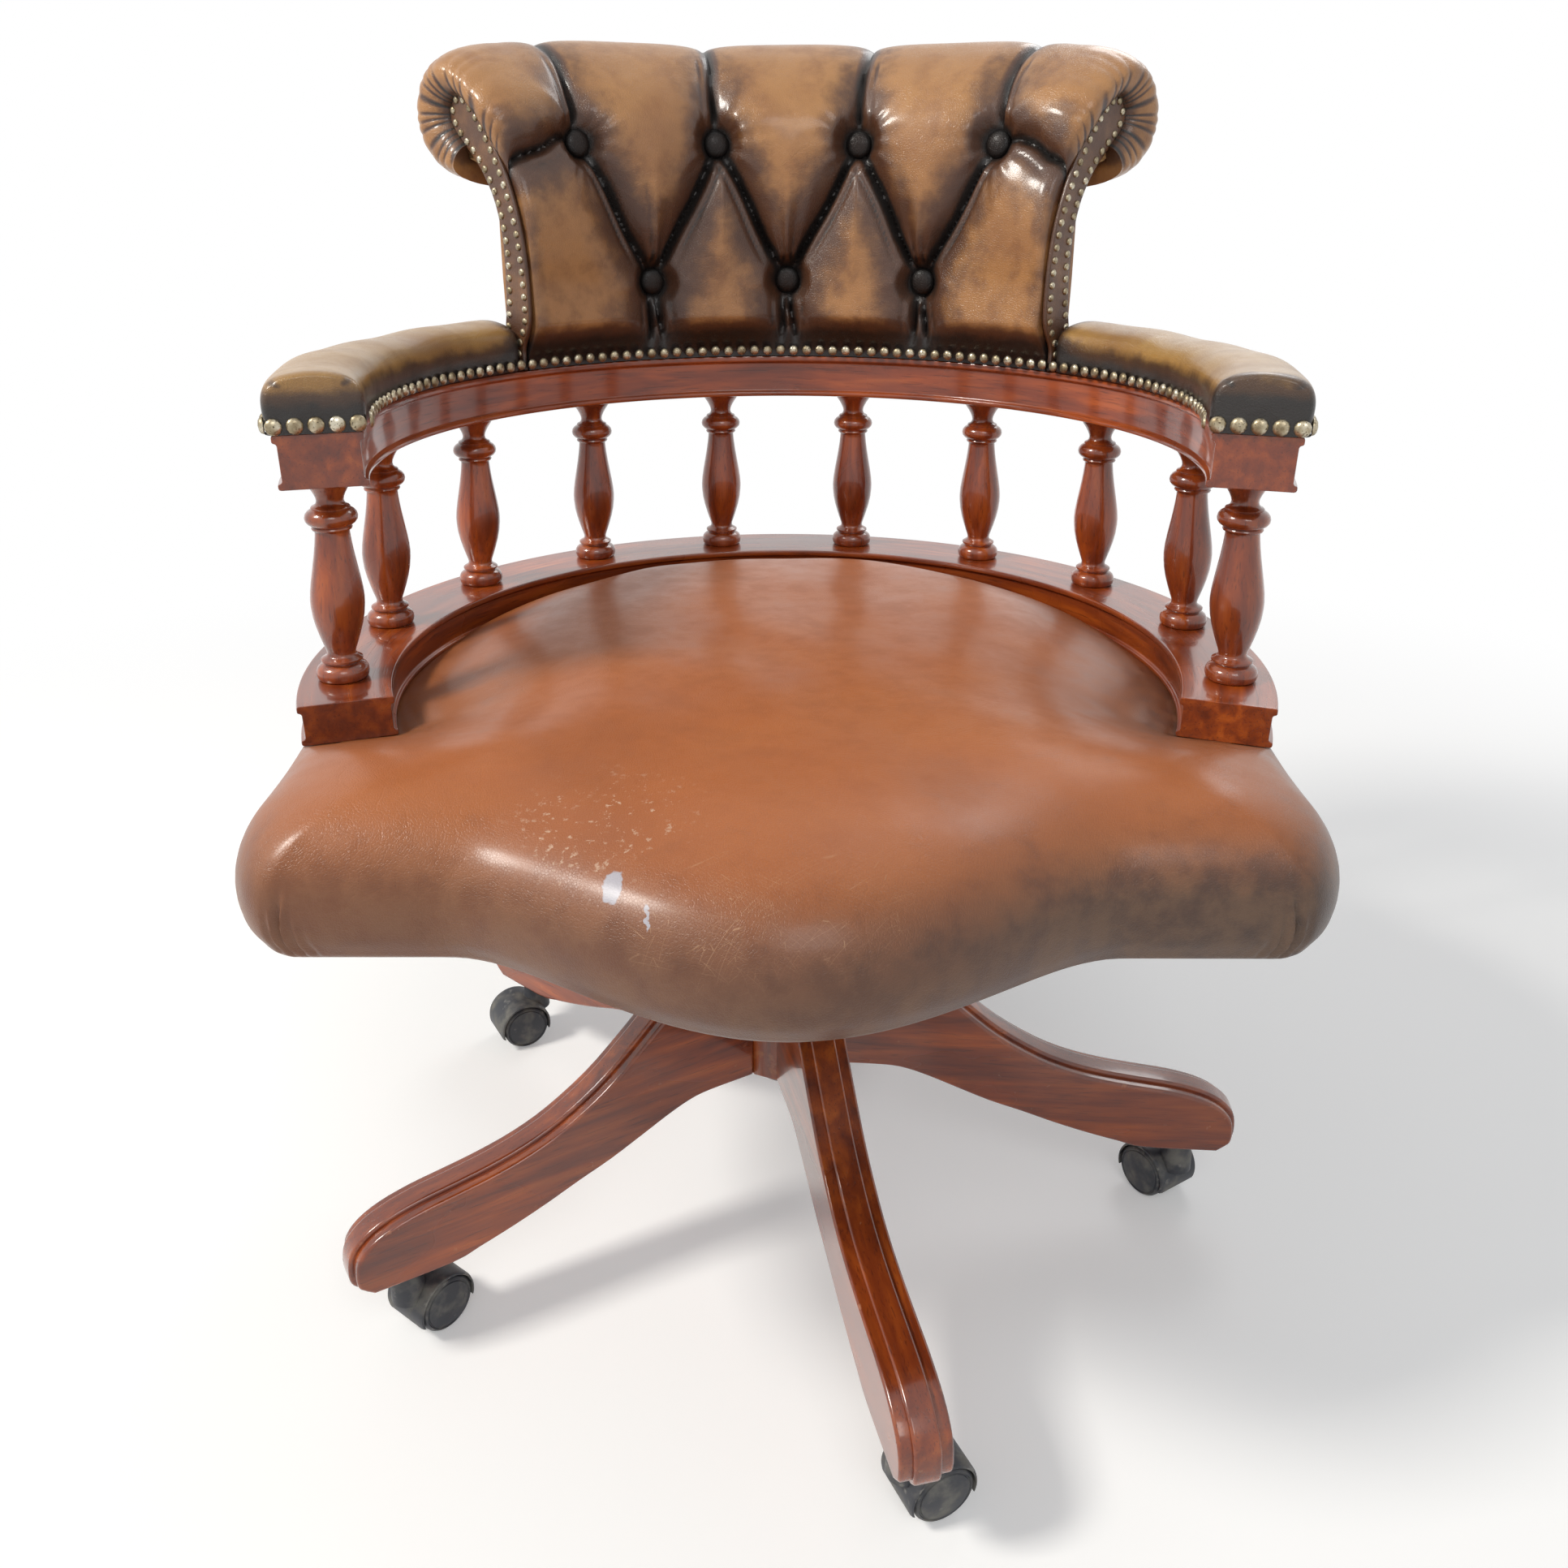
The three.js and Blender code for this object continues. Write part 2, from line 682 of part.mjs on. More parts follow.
// Plan of the seat: round at the back, bowed at the front. The inset draws it in all round.
function seatOutline(count) {
  const shape = new THREE.Path();
  const sideTurn = rad(-4);
  const sideX = seatBackRadius * Math.cos(sideTurn);
  const sideY = ringCentreY + seatBackRadius * Math.sin(sideTurn);
  const sideRun = (sideY - seatWidestY) / 2;
  const cornerRun = (seatWidestY - seatFrontY) / 2;
  shape.moveTo(0, ringCentreY + seatBackRadius);
  shape.absarc(0, ringCentreY, seatBackRadius, Math.PI / 2, sideTurn, true);
  shape.bezierCurveTo(sideX, sideY - sideRun / 2, seatWidestHalf, seatWidestY + sideRun, seatWidestHalf, seatWidestY);
  shape.bezierCurveTo(seatWidestHalf, seatWidestY - cornerRun, seatCornerX + cornerRun / 2, seatFrontY, seatCornerX, seatFrontY);
  shape.lineTo(bowHalfWidth, seatFrontY);
  const bowFront = seatFrontY - bowDepth;
  shape.bezierCurveTo(bowHalfWidth * 0.74, seatFrontY, bowHalfWidth * 0.42, bowFront, 0, bowFront);
  const half = shape.getSpacedPoints(count / 2);
  const other = half.slice(1, -1).reverse().map((p) => point(-p.x, p.y));
  return [...half, ...other].reverse();
}

function inset(outline, amount) {
  return outline.map((p) => p.clone().multiplyScalar(1 - amount / p.length()));
}

const board = inset(seatOutline(44), boardInset);
piece('seat_board', prism(board, seatBaseHeight, seatBaseHeight + boardThickness), plywood, seat);

const plateOpening = [
  point(-plateHalfWidth - runningGap, plateFrontY - runningGap),
  point(plateHalfWidth + runningGap, plateFrontY - runningGap),
  point(plateHalfWidth + runningGap, plateBackY + runningGap),
  point(-plateHalfWidth - runningGap, plateBackY + runningGap),
];
piece('dust_cover', prism(
  inset(seatOutline(44), coverInset),
  seatBaseHeight - seatGap - coverThickness,
  seatBaseHeight - seatGap,
  [plateOpening],
), blackCloth, seat);

// Seat cushion: rings of the plan outline, each drawn in and raised, closed by a recessed underside.
const crownRise = seatCrownHeight - seatBaseHeight;
const cushionRings = [
  { drawnIn: boardInset - seatGap, rise: boardThickness + seatGap },
  { drawnIn: boardInset - seatGap, rise: 0 },
  { drawnIn: seatBulge, rise: 0 },
  ...[
    [-0.15, 0.05], [-0.8, 0.17], [-1, 0.33], [-0.7, 0.48], [0.1, 0.62], [1.4, 0.74], [3.4, 0.83], [6.8, 0.9],
    [9, 0.925], [12, 0.95], [16, 0.97], [20, 0.985], [25, 0.993],
  ].map(([bulgeShares, crownShare]) => ({ drawnIn: bulgeShares * seatBulge, rise: crownShare * crownRise })),
];

// The leather is held down to the rail's foot beside the rail, and puffs up behind the sitter.
const puffStartDeg = 15;
function heldDown(p, rise) {
  const spot = p.clone().sub(point(0, ringCentreY));
  const deg = Math.abs(THREE.MathUtils.radToDeg(Math.atan2(spot.x, spot.y)));
  const end = point(Math.sin(rad(lowerRailEndDeg)) * Math.sign(p.x || 1), Math.cos(rad(lowerRailEndDeg)));
  const along = THREE.MathUtils.clamp(spot.dot(end), lowerRailInner, lowerRailOuter);
  const gap = deg < lowerRailEndDeg
    ? Math.max(lowerRailInner - spot.length(), 0)
    : spot.distanceTo(end.multiplyScalar(along));
  const puff = seatPuff * (1 - THREE.MathUtils.smoothstep(deg, puffStartDeg, lowerRailEndDeg));
  const fall = (1 - Math.min(gap / seatDomeReach, 1)) ** 2;
  return Math.min(rise, seatPanelHeight + puff + (seatHeight - seatPanelHeight) * (1 - fall));
}

function makeCushion() {
  const outline = seatOutline(44);
  const positions = [];
  for (const { drawnIn, rise } of cushionRings) {
    for (const p of inset(outline, drawnIn)) positions.push(p.x, p.y, seatBaseHeight + heldDown(p, rise));
  }
  const count = outline.length;
  const faces = [];
  for (let ring = 0; ring + 1 < cushionRings.length; ring += 1) {
    for (let i = 0; i < count; i += 1) {
      const next = (i + 1) % count;
      const [a, b] = [ring * count + i, ring * count + next];
      faces.push(a, b, b + count, a, b + count, a + count);
    }
  }
  const underMiddle = positions.length / 3;
  positions.push(0, 0, seatBaseHeight + cushionRings[0].rise);
  positions.push(0, 0, seatCrownHeight);
  const lastRing = (cushionRings.length - 1) * count;
  for (let i = 0; i < count; i += 1) {
    const next = (i + 1) % count;
    faces.push(next, i, underMiddle);
    faces.push(lastRing + i, lastRing + next, underMiddle + 1);
  }
  const geometry = new THREE.BufferGeometry();
  geometry.setAttribute('position', new THREE.Float32BufferAttribute(positions, 3));
  geometry.setIndex(faces);
  const railRoom = sweptRing([
    [lowerRailInner - runningGap, seatPanelLevel],
    [lowerRailOuter + cutOverrun, seatPanelLevel],
    [lowerRailOuter + cutOverrun, seatCrownHeight],
    [lowerRailInner - runningGap, seatCrownHeight],
  ], -lowerRailEndDeg - 0.15, lowerRailEndDeg + 0.15, railSteps).translate(0, ringCentreY, 0);
  return solid(geometry).subtract(solid(railRoom));
}
piece('seat_cushion', makeCushion(), seatLeather, seat);

// The ring: two rails, ten spindles between them
const ring = new THREE.Group();
ring.position.y = ringCentreY;
seat.add(ring);

// Moulded section: an eased lip stands out at the top and bottom of both faces, the middle is flat.
function railProfile(inner, outer, foot, height) {
  const side = [
    [railEase, 0],
    [0, railEase],
    [0, railLip],
    [railRecess, railLip + railEase],
    [railRecess, height - railLip - 2 * railEase],
    [0, height - railLip],
    [0, height - railEase],
    [railEase, height],
  ];
  const outerFace = side.map(([inset, rise]) => [outer - inset, foot + rise]);
  const innerFace = side.map(([inset, rise]) => [inner + inset, foot + rise]);
  return [...outerFace, ...innerFace.reverse()];
}

const spindleLean = (spindleTopRadius - spindleBaseRadius) / spindleHeight;
const lean = new THREE.Matrix4().makeShear(0, 0, 0, 0, spindleLean, 0);
const spindleAngles = [];
for (let k = 0; k < 10; k += 1) spindleAngles.push((k - 4.5) * spindlePitchDeg);

// Places a leaning upright on the ring: its foot lies on the base circle at a ring angle.
function placeOnRing(geometry, angleDeg) {
  return geometry.applyMatrix4(lean).translate(spindleBaseRadius, 0, spindleFoot)
    .rotateZ(Math.PI / 2 - rad(angleDeg));
}

// Half widths and heights of a spindle's turned beads, vase and cup, foot to top.
const spindleShares = [
  [0.97, 0], [0.97, 0.045], [0.62, 0.085], [0.6, 0.15], [0.95, 0.32], [1, 0.42], [0.6, 0.665], [0.94, 0.765],
  [0.95, 0.81], [0.56, 0.85], [0.52, 0.9], [0.86, 0.97], [0.86, 1],
];

function makeSpindle() {
  const body = spindleShares.map(([r, z]) => [r * spindleRadius, z * spindleHeight]);
  return turned([
    [0, -tenonLength],
    [tenonRadius, -tenonLength],
    [tenonRadius, 0],
    ...body,
    [tenonRadius, spindleHeight],
    [tenonRadius, spindleHeight + tenonLength],
    [0, spindleHeight + tenonLength],
  ], spindleSides);
}

function makeTenonRoom() {
  return turned([
    [0, -tenonLength - seatGap],
    [boreRadius(tenonRadius, spindleSides), -tenonLength - seatGap],
    [boreRadius(tenonRadius, spindleSides), spindleHeight + tenonLength + seatGap],
    [0, spindleHeight + tenonLength + seatGap],
  ], spindleSides);
}

function makeRail(inner, outer, foot, height, endDeg) {
  let rail = solid(sweptRing(railProfile(inner, outer, foot, height), -endDeg, endDeg, railSteps));
  for (const angle of spindleAngles) rail = rail.subtract(solid(placeOnRing(makeTenonRoom(), angle)));
  return rail;
}

piece(
  'lower_rail',
  makeRail(lowerRailInner, lowerRailOuter, lowerRailFoot, lowerRailHeight, lowerRailEndDeg),
  mahogany,
  ring,
);
piece(
  'upper_rail',
  makeRail(upperRailInner, upperRailOuter, upperRailFoot, upperRailHeight, upperRailEndDeg),
  mahogany,
  ring,
);
spindleAngles.forEach((angle, k) => {
  piece(`spindle_${k + 1}`, solid(placeOnRing(makeSpindle(), angle)), mahogany, ring);
});

// Arm pads: crowned leather pads on the ends of the upper rail
const padInner = upperRailInner - padOverhang;
const padOuter = upperRailOuter + padOverhang;
const padWidthShares = [
  [0, 0], [1, 0], [1.01, 0.5], [0.95, 0.8], [0.78, 0.95], [0.5, 1], [0.22, 0.95], [0.05, 0.8], [-0.01, 0.5],
];
const padProfile = padWidthShares.map(([across, up]) => [
  padInner + across * (padOuter - padInner),
  backFoot + up * padHeight,
]);
const padGapDeg = 1.4;
const padStartDeg = backHalfDeg + padGapDeg;
const padEndDeg = upperRailEndDeg + 0.4;
piece('arm_pad_right', sweptRing(padProfile, padStartDeg, padEndDeg, 9), padLeather, ring);
piece('arm_pad_left', sweptRing(padProfile, -padEndDeg, -padStartDeg, 9), padLeather, ring);

// Nail trim: the band of dome nails under the leather, round the inside of the ring
const trimOuter = padInner - seatGap - runningGap;
piece('nail_trim', sweptRing([
  [trimOuter - trimThickness, backFoot + seatGap],
  [trimOuter, backFoot + seatGap],
  [trimOuter, backFoot + seatGap + trimHeight],
  [trimOuter - trimThickness, backFoot + seatGap + trimHeight],
], -upperRailEndDeg, upperRailEndDeg, railSteps), brass, ring);

// Back board: a curved plywood board with the roll's core along its top
const backTop = backFoot + backRise;
const faceHeight = (share) => backFoot + share * backRise;
const reachRadius = (share) => backFaceRadius + share * backReach;
const boardBack = boardFrontRadius + boardWall;
const coreOutlineShares = [[0.2, 0.6], [0.5, 0.64], [0.74, 0.74], [0.64, 0.83], [0.36, 0.81], [0.17, 0.7]];
const coreOutline = coreOutlineShares.map(([reach, rise]) => [reachRadius(reach), faceHeight(rise)]);
const boardProfile = [
  [boardFrontRadius, backFoot],
  [boardBack, backFoot],
  [boardBack, faceHeight(0.56)],
  ...coreOutline,
  [boardFrontRadius, faceHeight(0.62)],
];
const backSteps = 18;
piece('back_board', sweptRing(boardProfile, -backHalfDeg, backHalfDeg, backSteps), plywood, ring);

// Rear panel: leather over the board, from the rail up to the roll
piece('rear_panel', sweptRing([
  [boardBack + seatGap, backFoot],
  [boardBack + seatGap + panelWall, backFoot],
  [boardBack + seatGap + panelWall, faceHeight(0.55)],
  [boardBack + seatGap, faceHeight(0.55)],
], -backHalfDeg, backHalfDeg, backSteps), backLeather, ring);

// Buttoned cushion: the line through the buttons, foot to top and over the roll, as
// shares of the back's reach and rise. Between the buttons the leather stands proud in tufts.
const backLineShares = [
  [0, 0], [0, 0.055], [0.03, 0.16], [0.05, 0.27], [0.045, 0.38], [0.04, 0.49], [0.05, 0.61], [0.08, 0.725],
  [0.14, 0.81], [0.25, 0.895], [0.4, 0.965], [0.6, 1], [0.8, 0.975], [0.94, 0.9], [0.985, 0.8], [0.91, 0.7],
  [0.74, 0.63], [0.53, 0.6],
];
const lowerButtonRow = 3;
const upperButtonRow = 7;
const columnsPerHalfPitch = upperButtonRow - lowerButtonRow;
const backLine = backLineShares.map(([reach, rise]) => point(
  reachRadius(reach),
  faceHeight(0) + rise * (backRise - tuftDepth),
));
const lineLength = [0];
for (let i = 1; i < backLine.length; i += 1) {
  lineLength.push(lineLength[i - 1] + backLine[i].distanceTo(backLine[i - 1]));
}
const lineNormals = backLine.map((p, i) => {
  const before = backLine[Math.max(i - 1, 0)];
  const after = backLine[Math.min(i + 1, backLine.length - 1)];
  const along = after.clone().sub(before).normalize();
  return point(-along.y, along.x);
});

const halfPitch = tuftPitchDeg / 2;
const backColumns = [-backHalfDeg];
for (let k = -4 * columnsPerHalfPitch; k <= 4 * columnsPerHalfPitch; k += 1) {
  backColumns.push(k * halfPitch / columnsPerHalfPitch);
}
backColumns.push(backHalfDeg);

const upperButtonDegs = [-1.5, -0.5, 0.5, 1.5].map((pitches) => pitches * tuftPitchDeg);
const lowerButtonDegs = [-1, 0, 1].map((pitches) => pitches * tuftPitchDeg);
const arcLength = (deg) => rad(deg) * boardFrontRadius;

// Creases run from button to button, down to the rail, over the roll and out to the facings.
const creases = [];
const lastLength = lineLength[lineLength.length - 1];
const upperLength = lineLength[upperButtonRow];
const lowerLength = lineLength[lowerButtonRow];
for (const upperDeg of upperButtonDegs) {
  creases.push([point(arcLength(upperDeg), upperLength), point(arcLength(upperDeg), lastLength)]);
  for (const lowerDeg of lowerButtonDegs) {
    if (Math.abs(upperDeg - lowerDeg) < tuftPitchDeg) {
      creases.push([point(arcLength(upperDeg), upperLength), point(arcLength(lowerDeg), lowerLength)]);
    }
  }
}
for (const lowerDeg of lowerButtonDegs) {
  creases.push([point(arcLength(lowerDeg), 0), point(arcLength(lowerDeg), lowerLength)]);
}
for (const side of [-1, 1]) {
  const outerButton = side * 1.5 * tuftPitchDeg;
  creases.push([
    point(arcLength(outerButton), upperLength),
    point(arcLength(side * backHalfDeg), upperLength),
  ]);
}

function creaseDistance(place) {
  let least = Infinity;
  for (const [from, to] of creases) {
    const run = to.clone().sub(from);
    const share = THREE.MathUtils.clamp(place.clone().sub(from).dot(run) / run.lengthSq(), 0, 1);
    least = Math.min(least, place.distanceTo(from.clone().addScaledVector(run, share)));
  }
  return least;
}

// How far the leather stands off the button line at one place; over the roll the creases are shallow.
function tuftRise(deg, row) {
  const place = point(arcLength(deg), lineLength[row]);
  const crease = THREE.MathUtils.smoothstep(creaseDistance(place), -tuftReach / 4, tuftReach);
  const overRoll = THREE.MathUtils.smoothstep(lineLength[row], upperLength, upperLength + 2 * tuftReach);
  const open = THREE.MathUtils.lerp(crease, 1, overRoll / 2);
  const hem = THREE.MathUtils.smoothstep(lineLength[row], lineLength[1], lineLength[lowerButtonRow]);
  const endRun = arcLength(backHalfDeg - Math.abs(deg));
  const endEase = THREE.MathUtils.smoothstep(endRun, -tuftReach / 2, 2 * tuftReach);
  return tuftDepth * open * hem * endEase;
}

function makeBackCushion() {
  const innerLine = [
    ...coreOutline.slice(1).map(([r, z]) => point(r, z)),
    point(boardFrontRadius, faceHeight(0.62)),
    point(boardFrontRadius, backFoot),
  ];
  const innerNormals = innerLine.map((p, i) => {
    const before = innerLine[Math.max(i - 1, 0)];
    const after = innerLine[Math.min(i + 1, innerLine.length - 1)];
    const along = after.clone().sub(before).normalize();
    return point(along.y, -along.x);
  });
  const innerRing = innerLine.map((p, i) => p.clone().addScaledVector(innerNormals[i], 2 * runningGap));
  innerRing[innerRing.length - 1].y = backFoot;
  innerRing.reverse();
  const outlineAt = (deg) => {
    const outer = backLine.map((p, row) => p.clone().addScaledVector(lineNormals[row], tuftRise(deg, row)));
    outer[0].y = backFoot;
    return [...outer.reverse(), ...innerRing];
  };
  const sections = backColumns.map((deg) => ringSection(outlineAt(deg), deg));
  return solid(loft(sections, outlineAt(-backHalfDeg)));
}

// A button seat: a turned body stood on the button line, facing the sitter.
function onBackLine(geometry, deg, row) {
  const normal = lineNormals[row];
  const slope = Math.atan2(normal.x, normal.y);
  return geometry.rotateY(slope).translate(backLine[row].x, 0, backLine[row].y)
    .rotateZ(Math.PI / 2 - rad(deg));
}

const buttonPlaces = [
  ...upperButtonDegs.map((deg, k) => [`upper_${k + 1}`, deg, upperButtonRow]),
  ...lowerButtonDegs.map((deg, k) => [`lower_${k + 1}`, deg, lowerButtonRow]),
];
let backCushion = makeBackCushion();
const buttonFoot = -1;
for (const [, deg, row] of buttonPlaces) {
  const pocket = turned([
    [0, buttonFoot - seatGap],
    [boreRadius(buttonRadius, 8), buttonFoot - seatGap],
    [boreRadius(buttonRadius, 8), tuftDepth + cutOverrun],
    [0, tuftDepth + cutOverrun],
  ], 8);
  backCushion = backCushion.subtract(solid(onBackLine(pocket, deg, row)));
}
piece('back_cushion', backCushion, backLeather, ring);

for (const [place, deg, row] of buttonPlaces) {
  const button = turned([
    [0, buttonFoot],
    [buttonRadius, buttonFoot],
    [buttonRadius, buttonFoot + buttonHeight / 2],
    [0.6 * buttonRadius, buttonFoot + buttonHeight],
    [0, buttonFoot + buttonHeight],
  ], 8);
  piece(`button_${place}`, solid(onBackLine(button, deg, row)), darkLeather, ring);
}

// Facings: the nailed leather panels on the two ends of the back
const facingShares = [
  [0.2, 0], [0.19, 0.1], [0.14, 0.22], [0.12, 0.36], [0.17, 0.49], [0.27, 0.58], [0.41, 0.65], [0.56, 0.71],
  [0.62, 0.765], [0.59, 0.81], [0.49, 0.835], [0.37, 0.805], [0.23, 0.735], [0.06, 0.61], [-0.06, 0.47],
  [-0.11, 0.33], [-0.11, 0.16], [-0.02, 0.07], [-0.02, 0],
];
const facingOutline = facingShares.map(([reach, rise]) => point(reachRadius(reach), faceHeight(rise))).reverse();
const facingStand = reachRadius(0) * Math.sin(rad(0.1));
for (const [place, side] of [['right', 1], ['left', -1]]) {
  const geometry = new THREE.ExtrudeGeometry(new THREE.Shape(facingOutline), {
    depth: facingWall,
    bevelEnabled: false,
  }).rotateX(Math.PI / 2);
  const offset = side > 0 ? -facingStand : facingWall + facingStand;
  geometry.translate(0, offset, 0).rotateZ(Math.PI / 2 - rad(side * backHalfDeg));
  piece(`facing_${place}`, geometry, backLeather, ring);
}

// The origin is the middle of the chair's bounding box, on the floor.
const box = new THREE.Box3().setFromObject(chair, true);
const middle = box.getCenter(new THREE.Vector3());
chair.position.set(-middle.x, -middle.y, -box.min.z);

export default chair;
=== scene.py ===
# Captains chair: the dressed model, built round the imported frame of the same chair.
# Metres, +Z up, the sitter faces -Y. Every piece sits where its CAD solid sits.
import json
import math

import bpy
import numpy as np
from mathutils import Matrix, Vector


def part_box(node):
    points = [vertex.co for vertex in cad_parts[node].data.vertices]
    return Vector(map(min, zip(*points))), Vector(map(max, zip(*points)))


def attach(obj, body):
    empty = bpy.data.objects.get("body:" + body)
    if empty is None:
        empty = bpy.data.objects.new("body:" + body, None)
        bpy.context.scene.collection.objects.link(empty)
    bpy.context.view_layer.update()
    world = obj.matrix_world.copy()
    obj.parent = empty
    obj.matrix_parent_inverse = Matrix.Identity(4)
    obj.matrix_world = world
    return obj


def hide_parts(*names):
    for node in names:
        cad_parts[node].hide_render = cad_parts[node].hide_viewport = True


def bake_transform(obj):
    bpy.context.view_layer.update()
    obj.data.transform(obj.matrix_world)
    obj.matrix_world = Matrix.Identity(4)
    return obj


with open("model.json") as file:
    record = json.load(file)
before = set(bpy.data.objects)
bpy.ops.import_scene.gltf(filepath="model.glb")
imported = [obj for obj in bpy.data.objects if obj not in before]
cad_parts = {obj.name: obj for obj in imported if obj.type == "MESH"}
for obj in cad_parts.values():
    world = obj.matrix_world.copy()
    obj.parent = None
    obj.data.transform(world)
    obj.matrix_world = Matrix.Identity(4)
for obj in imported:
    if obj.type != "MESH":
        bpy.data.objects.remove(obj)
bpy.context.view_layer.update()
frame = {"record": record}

# ---- Places
# The column's axis, read from the gas tube's solid, and the middle of the ring of rails a set
# distance behind it.
# Profiles, outlines and tables are in millimetres; ring angles run from the back towards +X.
MM = 0.001
RING_BEHIND = 33


tube_low, tube_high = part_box("gas_tube")
column = Vector(((tube_low[0] + tube_high[0]) / 2, (tube_low[1] + tube_high[1]) / 2, 0))
ring = column + Vector((0, RING_BEHIND * MM, 0))


def spot(x, y, z=0.0, origin=column):
    """A place so many millimetres from the column's foot, or from another place."""
    return origin + Vector((x, y, z)) * MM


def heights_of(node):
    """The heights of a solid's foot and top, in millimetres."""
    return [corner[2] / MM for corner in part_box(node)]


# ---- Camera
# A phone held at chest height in front of the chair, looking down at the seat.
# Its place, tilt and lens are those fitted to the photograph.
LOOK_DOWN = math.radians(24.67)
HEAD_ROLL = math.radians(0.10)
camera_data = bpy.data.cameras.new("camera")
camera_data.sensor_width = 36
camera_data.lens = 31.09
camera_data.clip_end = 50
camera = bpy.data.objects.new("camera", camera_data)
camera.matrix_world = (
    Matrix.Translation(spot(-1.9, -857.1, 738.2))
    @ Matrix.Rotation(math.pi / 2 - LOOK_DOWN, 4, "X")
    @ Matrix.Rotation(HEAD_ROLL, 4, "Z")
)
bpy.context.collection.objects.link(camera)
bpy.context.scene.camera = camera


# ---- Hub
# The block that the five legs are joined to, in lacquered mahogany like the legs.
# It is sawn to a flat for each leg and bored for the gas column.
BASE_TURN = math.radians(13.5)
HUB_FLAT = 37.7
HUB_BORE = 25.4
LEG_WIDTH = 33
RING_GRAIN = 0.29  # radius at which the wood's figure is laid round the ring
leg_turns = [BASE_TURN + k * math.tau / 5 - math.pi / 2 for k in range(5)]


def put_down():
    """Leaves edit mode with nothing selected."""
    if bpy.context.object and bpy.context.object.mode != "OBJECT":
        bpy.ops.object.mode_set(mode="OBJECT")
    bpy.ops.object.select_all(action="DESELECT")


def take_up(piece):
    """Makes one piece the active and only selected one."""
    put_down()
    piece.select_set(True)
    bpy.context.view_layer.objects.active = piece


def draw_line(name, points, closed=False):
    """A piece that starts as one point and is extruded from point to point."""
    points = [Vector(point) for point in points]
    put_down()
    bpy.ops.mesh.primitive_plane_add(size=MM, location=points[0])
    line = bpy.context.object
    line.name = line.data.name = name
    bpy.ops.object.transform_apply()
    bpy.ops.object.mode_set(mode="EDIT")
    bpy.ops.mesh.select_all(action="SELECT")
    bpy.ops.mesh.merge(type="CENTER")
    ends = points[1:] + points[:1] if closed else points[1:]
    for start, end in zip(points, ends):
        bpy.ops.mesh.extrude_vertices_move(TRANSFORM_OT_translate={"value": end - start})
    bpy.ops.mesh.select_all(action="SELECT")
    bpy.ops.mesh.remove_doubles(threshold=MM / 100)
    return line


def close_skin(piece, merge=MM / 100):
    """Merges doubles, points every face outwards and puts the piece down."""
    bpy.ops.mesh.select_all(action="SELECT")
    bpy.ops.mesh.remove_doubles(threshold=merge)
    bpy.ops.mesh.normals_make_consistent(inside=False)
    bpy.ops.object.mode_set(mode="OBJECT")
    return piece


def saw_board(name, outline, push):
    """A flat board: a closed outline filled and pushed out to its thickness."""
    board = draw_line(name, outline, closed=True)
    bpy.ops.mesh.edge_face_add()
    bpy.ops.mesh.extrude_region_move(TRANSFORM_OT_translate={"value": Vector(push) * MM})
    return close_skin(board)


def ease_edges(piece, width, segments=3, angle=40):
    """Rounds the edges sharper than the angle."""
    take_up(piece)
    bevel = piece.modifiers.new("eased", "BEVEL")
    bevel.width = width * MM
    bevel.segments = segments
    bevel.limit_method = "ANGLE"
    bevel.angle_limit = math.radians(angle)
    bevel.use_clamp_overlap = True
    bpy.ops.object.modifier_apply(modifier=bevel.name)
    return piece


def join_cut(piece, tool, operation="UNION"):
    """Joins the tool to the piece, or cuts it away; the tool is used up."""
    take_up(piece)
    boolean = piece.modifiers.new("joint", "BOOLEAN")
    boolean.operation = operation
    boolean.solver = "EXACT"
    boolean.object = tool
    bpy.ops.object.modifier_apply(modifier=boolean.name)
    bpy.data.objects.remove(tool)
    return piece


def bore(piece, centre, radius, depth, way="Z", sides=32):
    """Cuts a round hole through a place."""
    put_down()
    turn = {"X": (0, math.pi / 2, 0), "Y": (math.pi / 2, 0, 0), "Z": (0, 0, 0)}[way]
    bpy.ops.mesh.primitive_cylinder_add(
        vertices=sides, radius=radius * MM, depth=depth * MM, location=centre, rotation=turn
    )
    return join_cut(piece, bpy.context.object, "DIFFERENCE")


def smooth_faces(piece, angle=35):
    """Smooth shading up to an angle, with the flats left flat beside their rounded edges."""
    take_up(piece)
    bpy.ops.object.shade_smooth_by_angle(angle=math.radians(angle))
    bpy.ops.object.modifier_add(type="WEIGHTED_NORMAL")
    piece.modifiers[-1].keep_sharp = True
    bpy.ops.object.modifier_apply(modifier=piece.modifiers[-1].name)
    return piece


def hand_over(piece, body, slot, paint, *nodes):
    """Gives a finished piece its material, hides the solids it stands for and hangs it on its body.
    """
    piece.data.materials.clear()
    piece.data.materials.append(paint.material)
    if nodes:
        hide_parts(*nodes)
    if body:
        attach(piece, body)


def srgb(red, green, blue):
    """A colour written as 0 to 255, as the linear value a shader takes."""
    shares = [channel / 255 for channel in (red, green, blue)]
    return (*(s / 12.92 if s <= 0.04045 else ((s + 0.055) / 1.055) ** 2.4 for s in shares), 1)


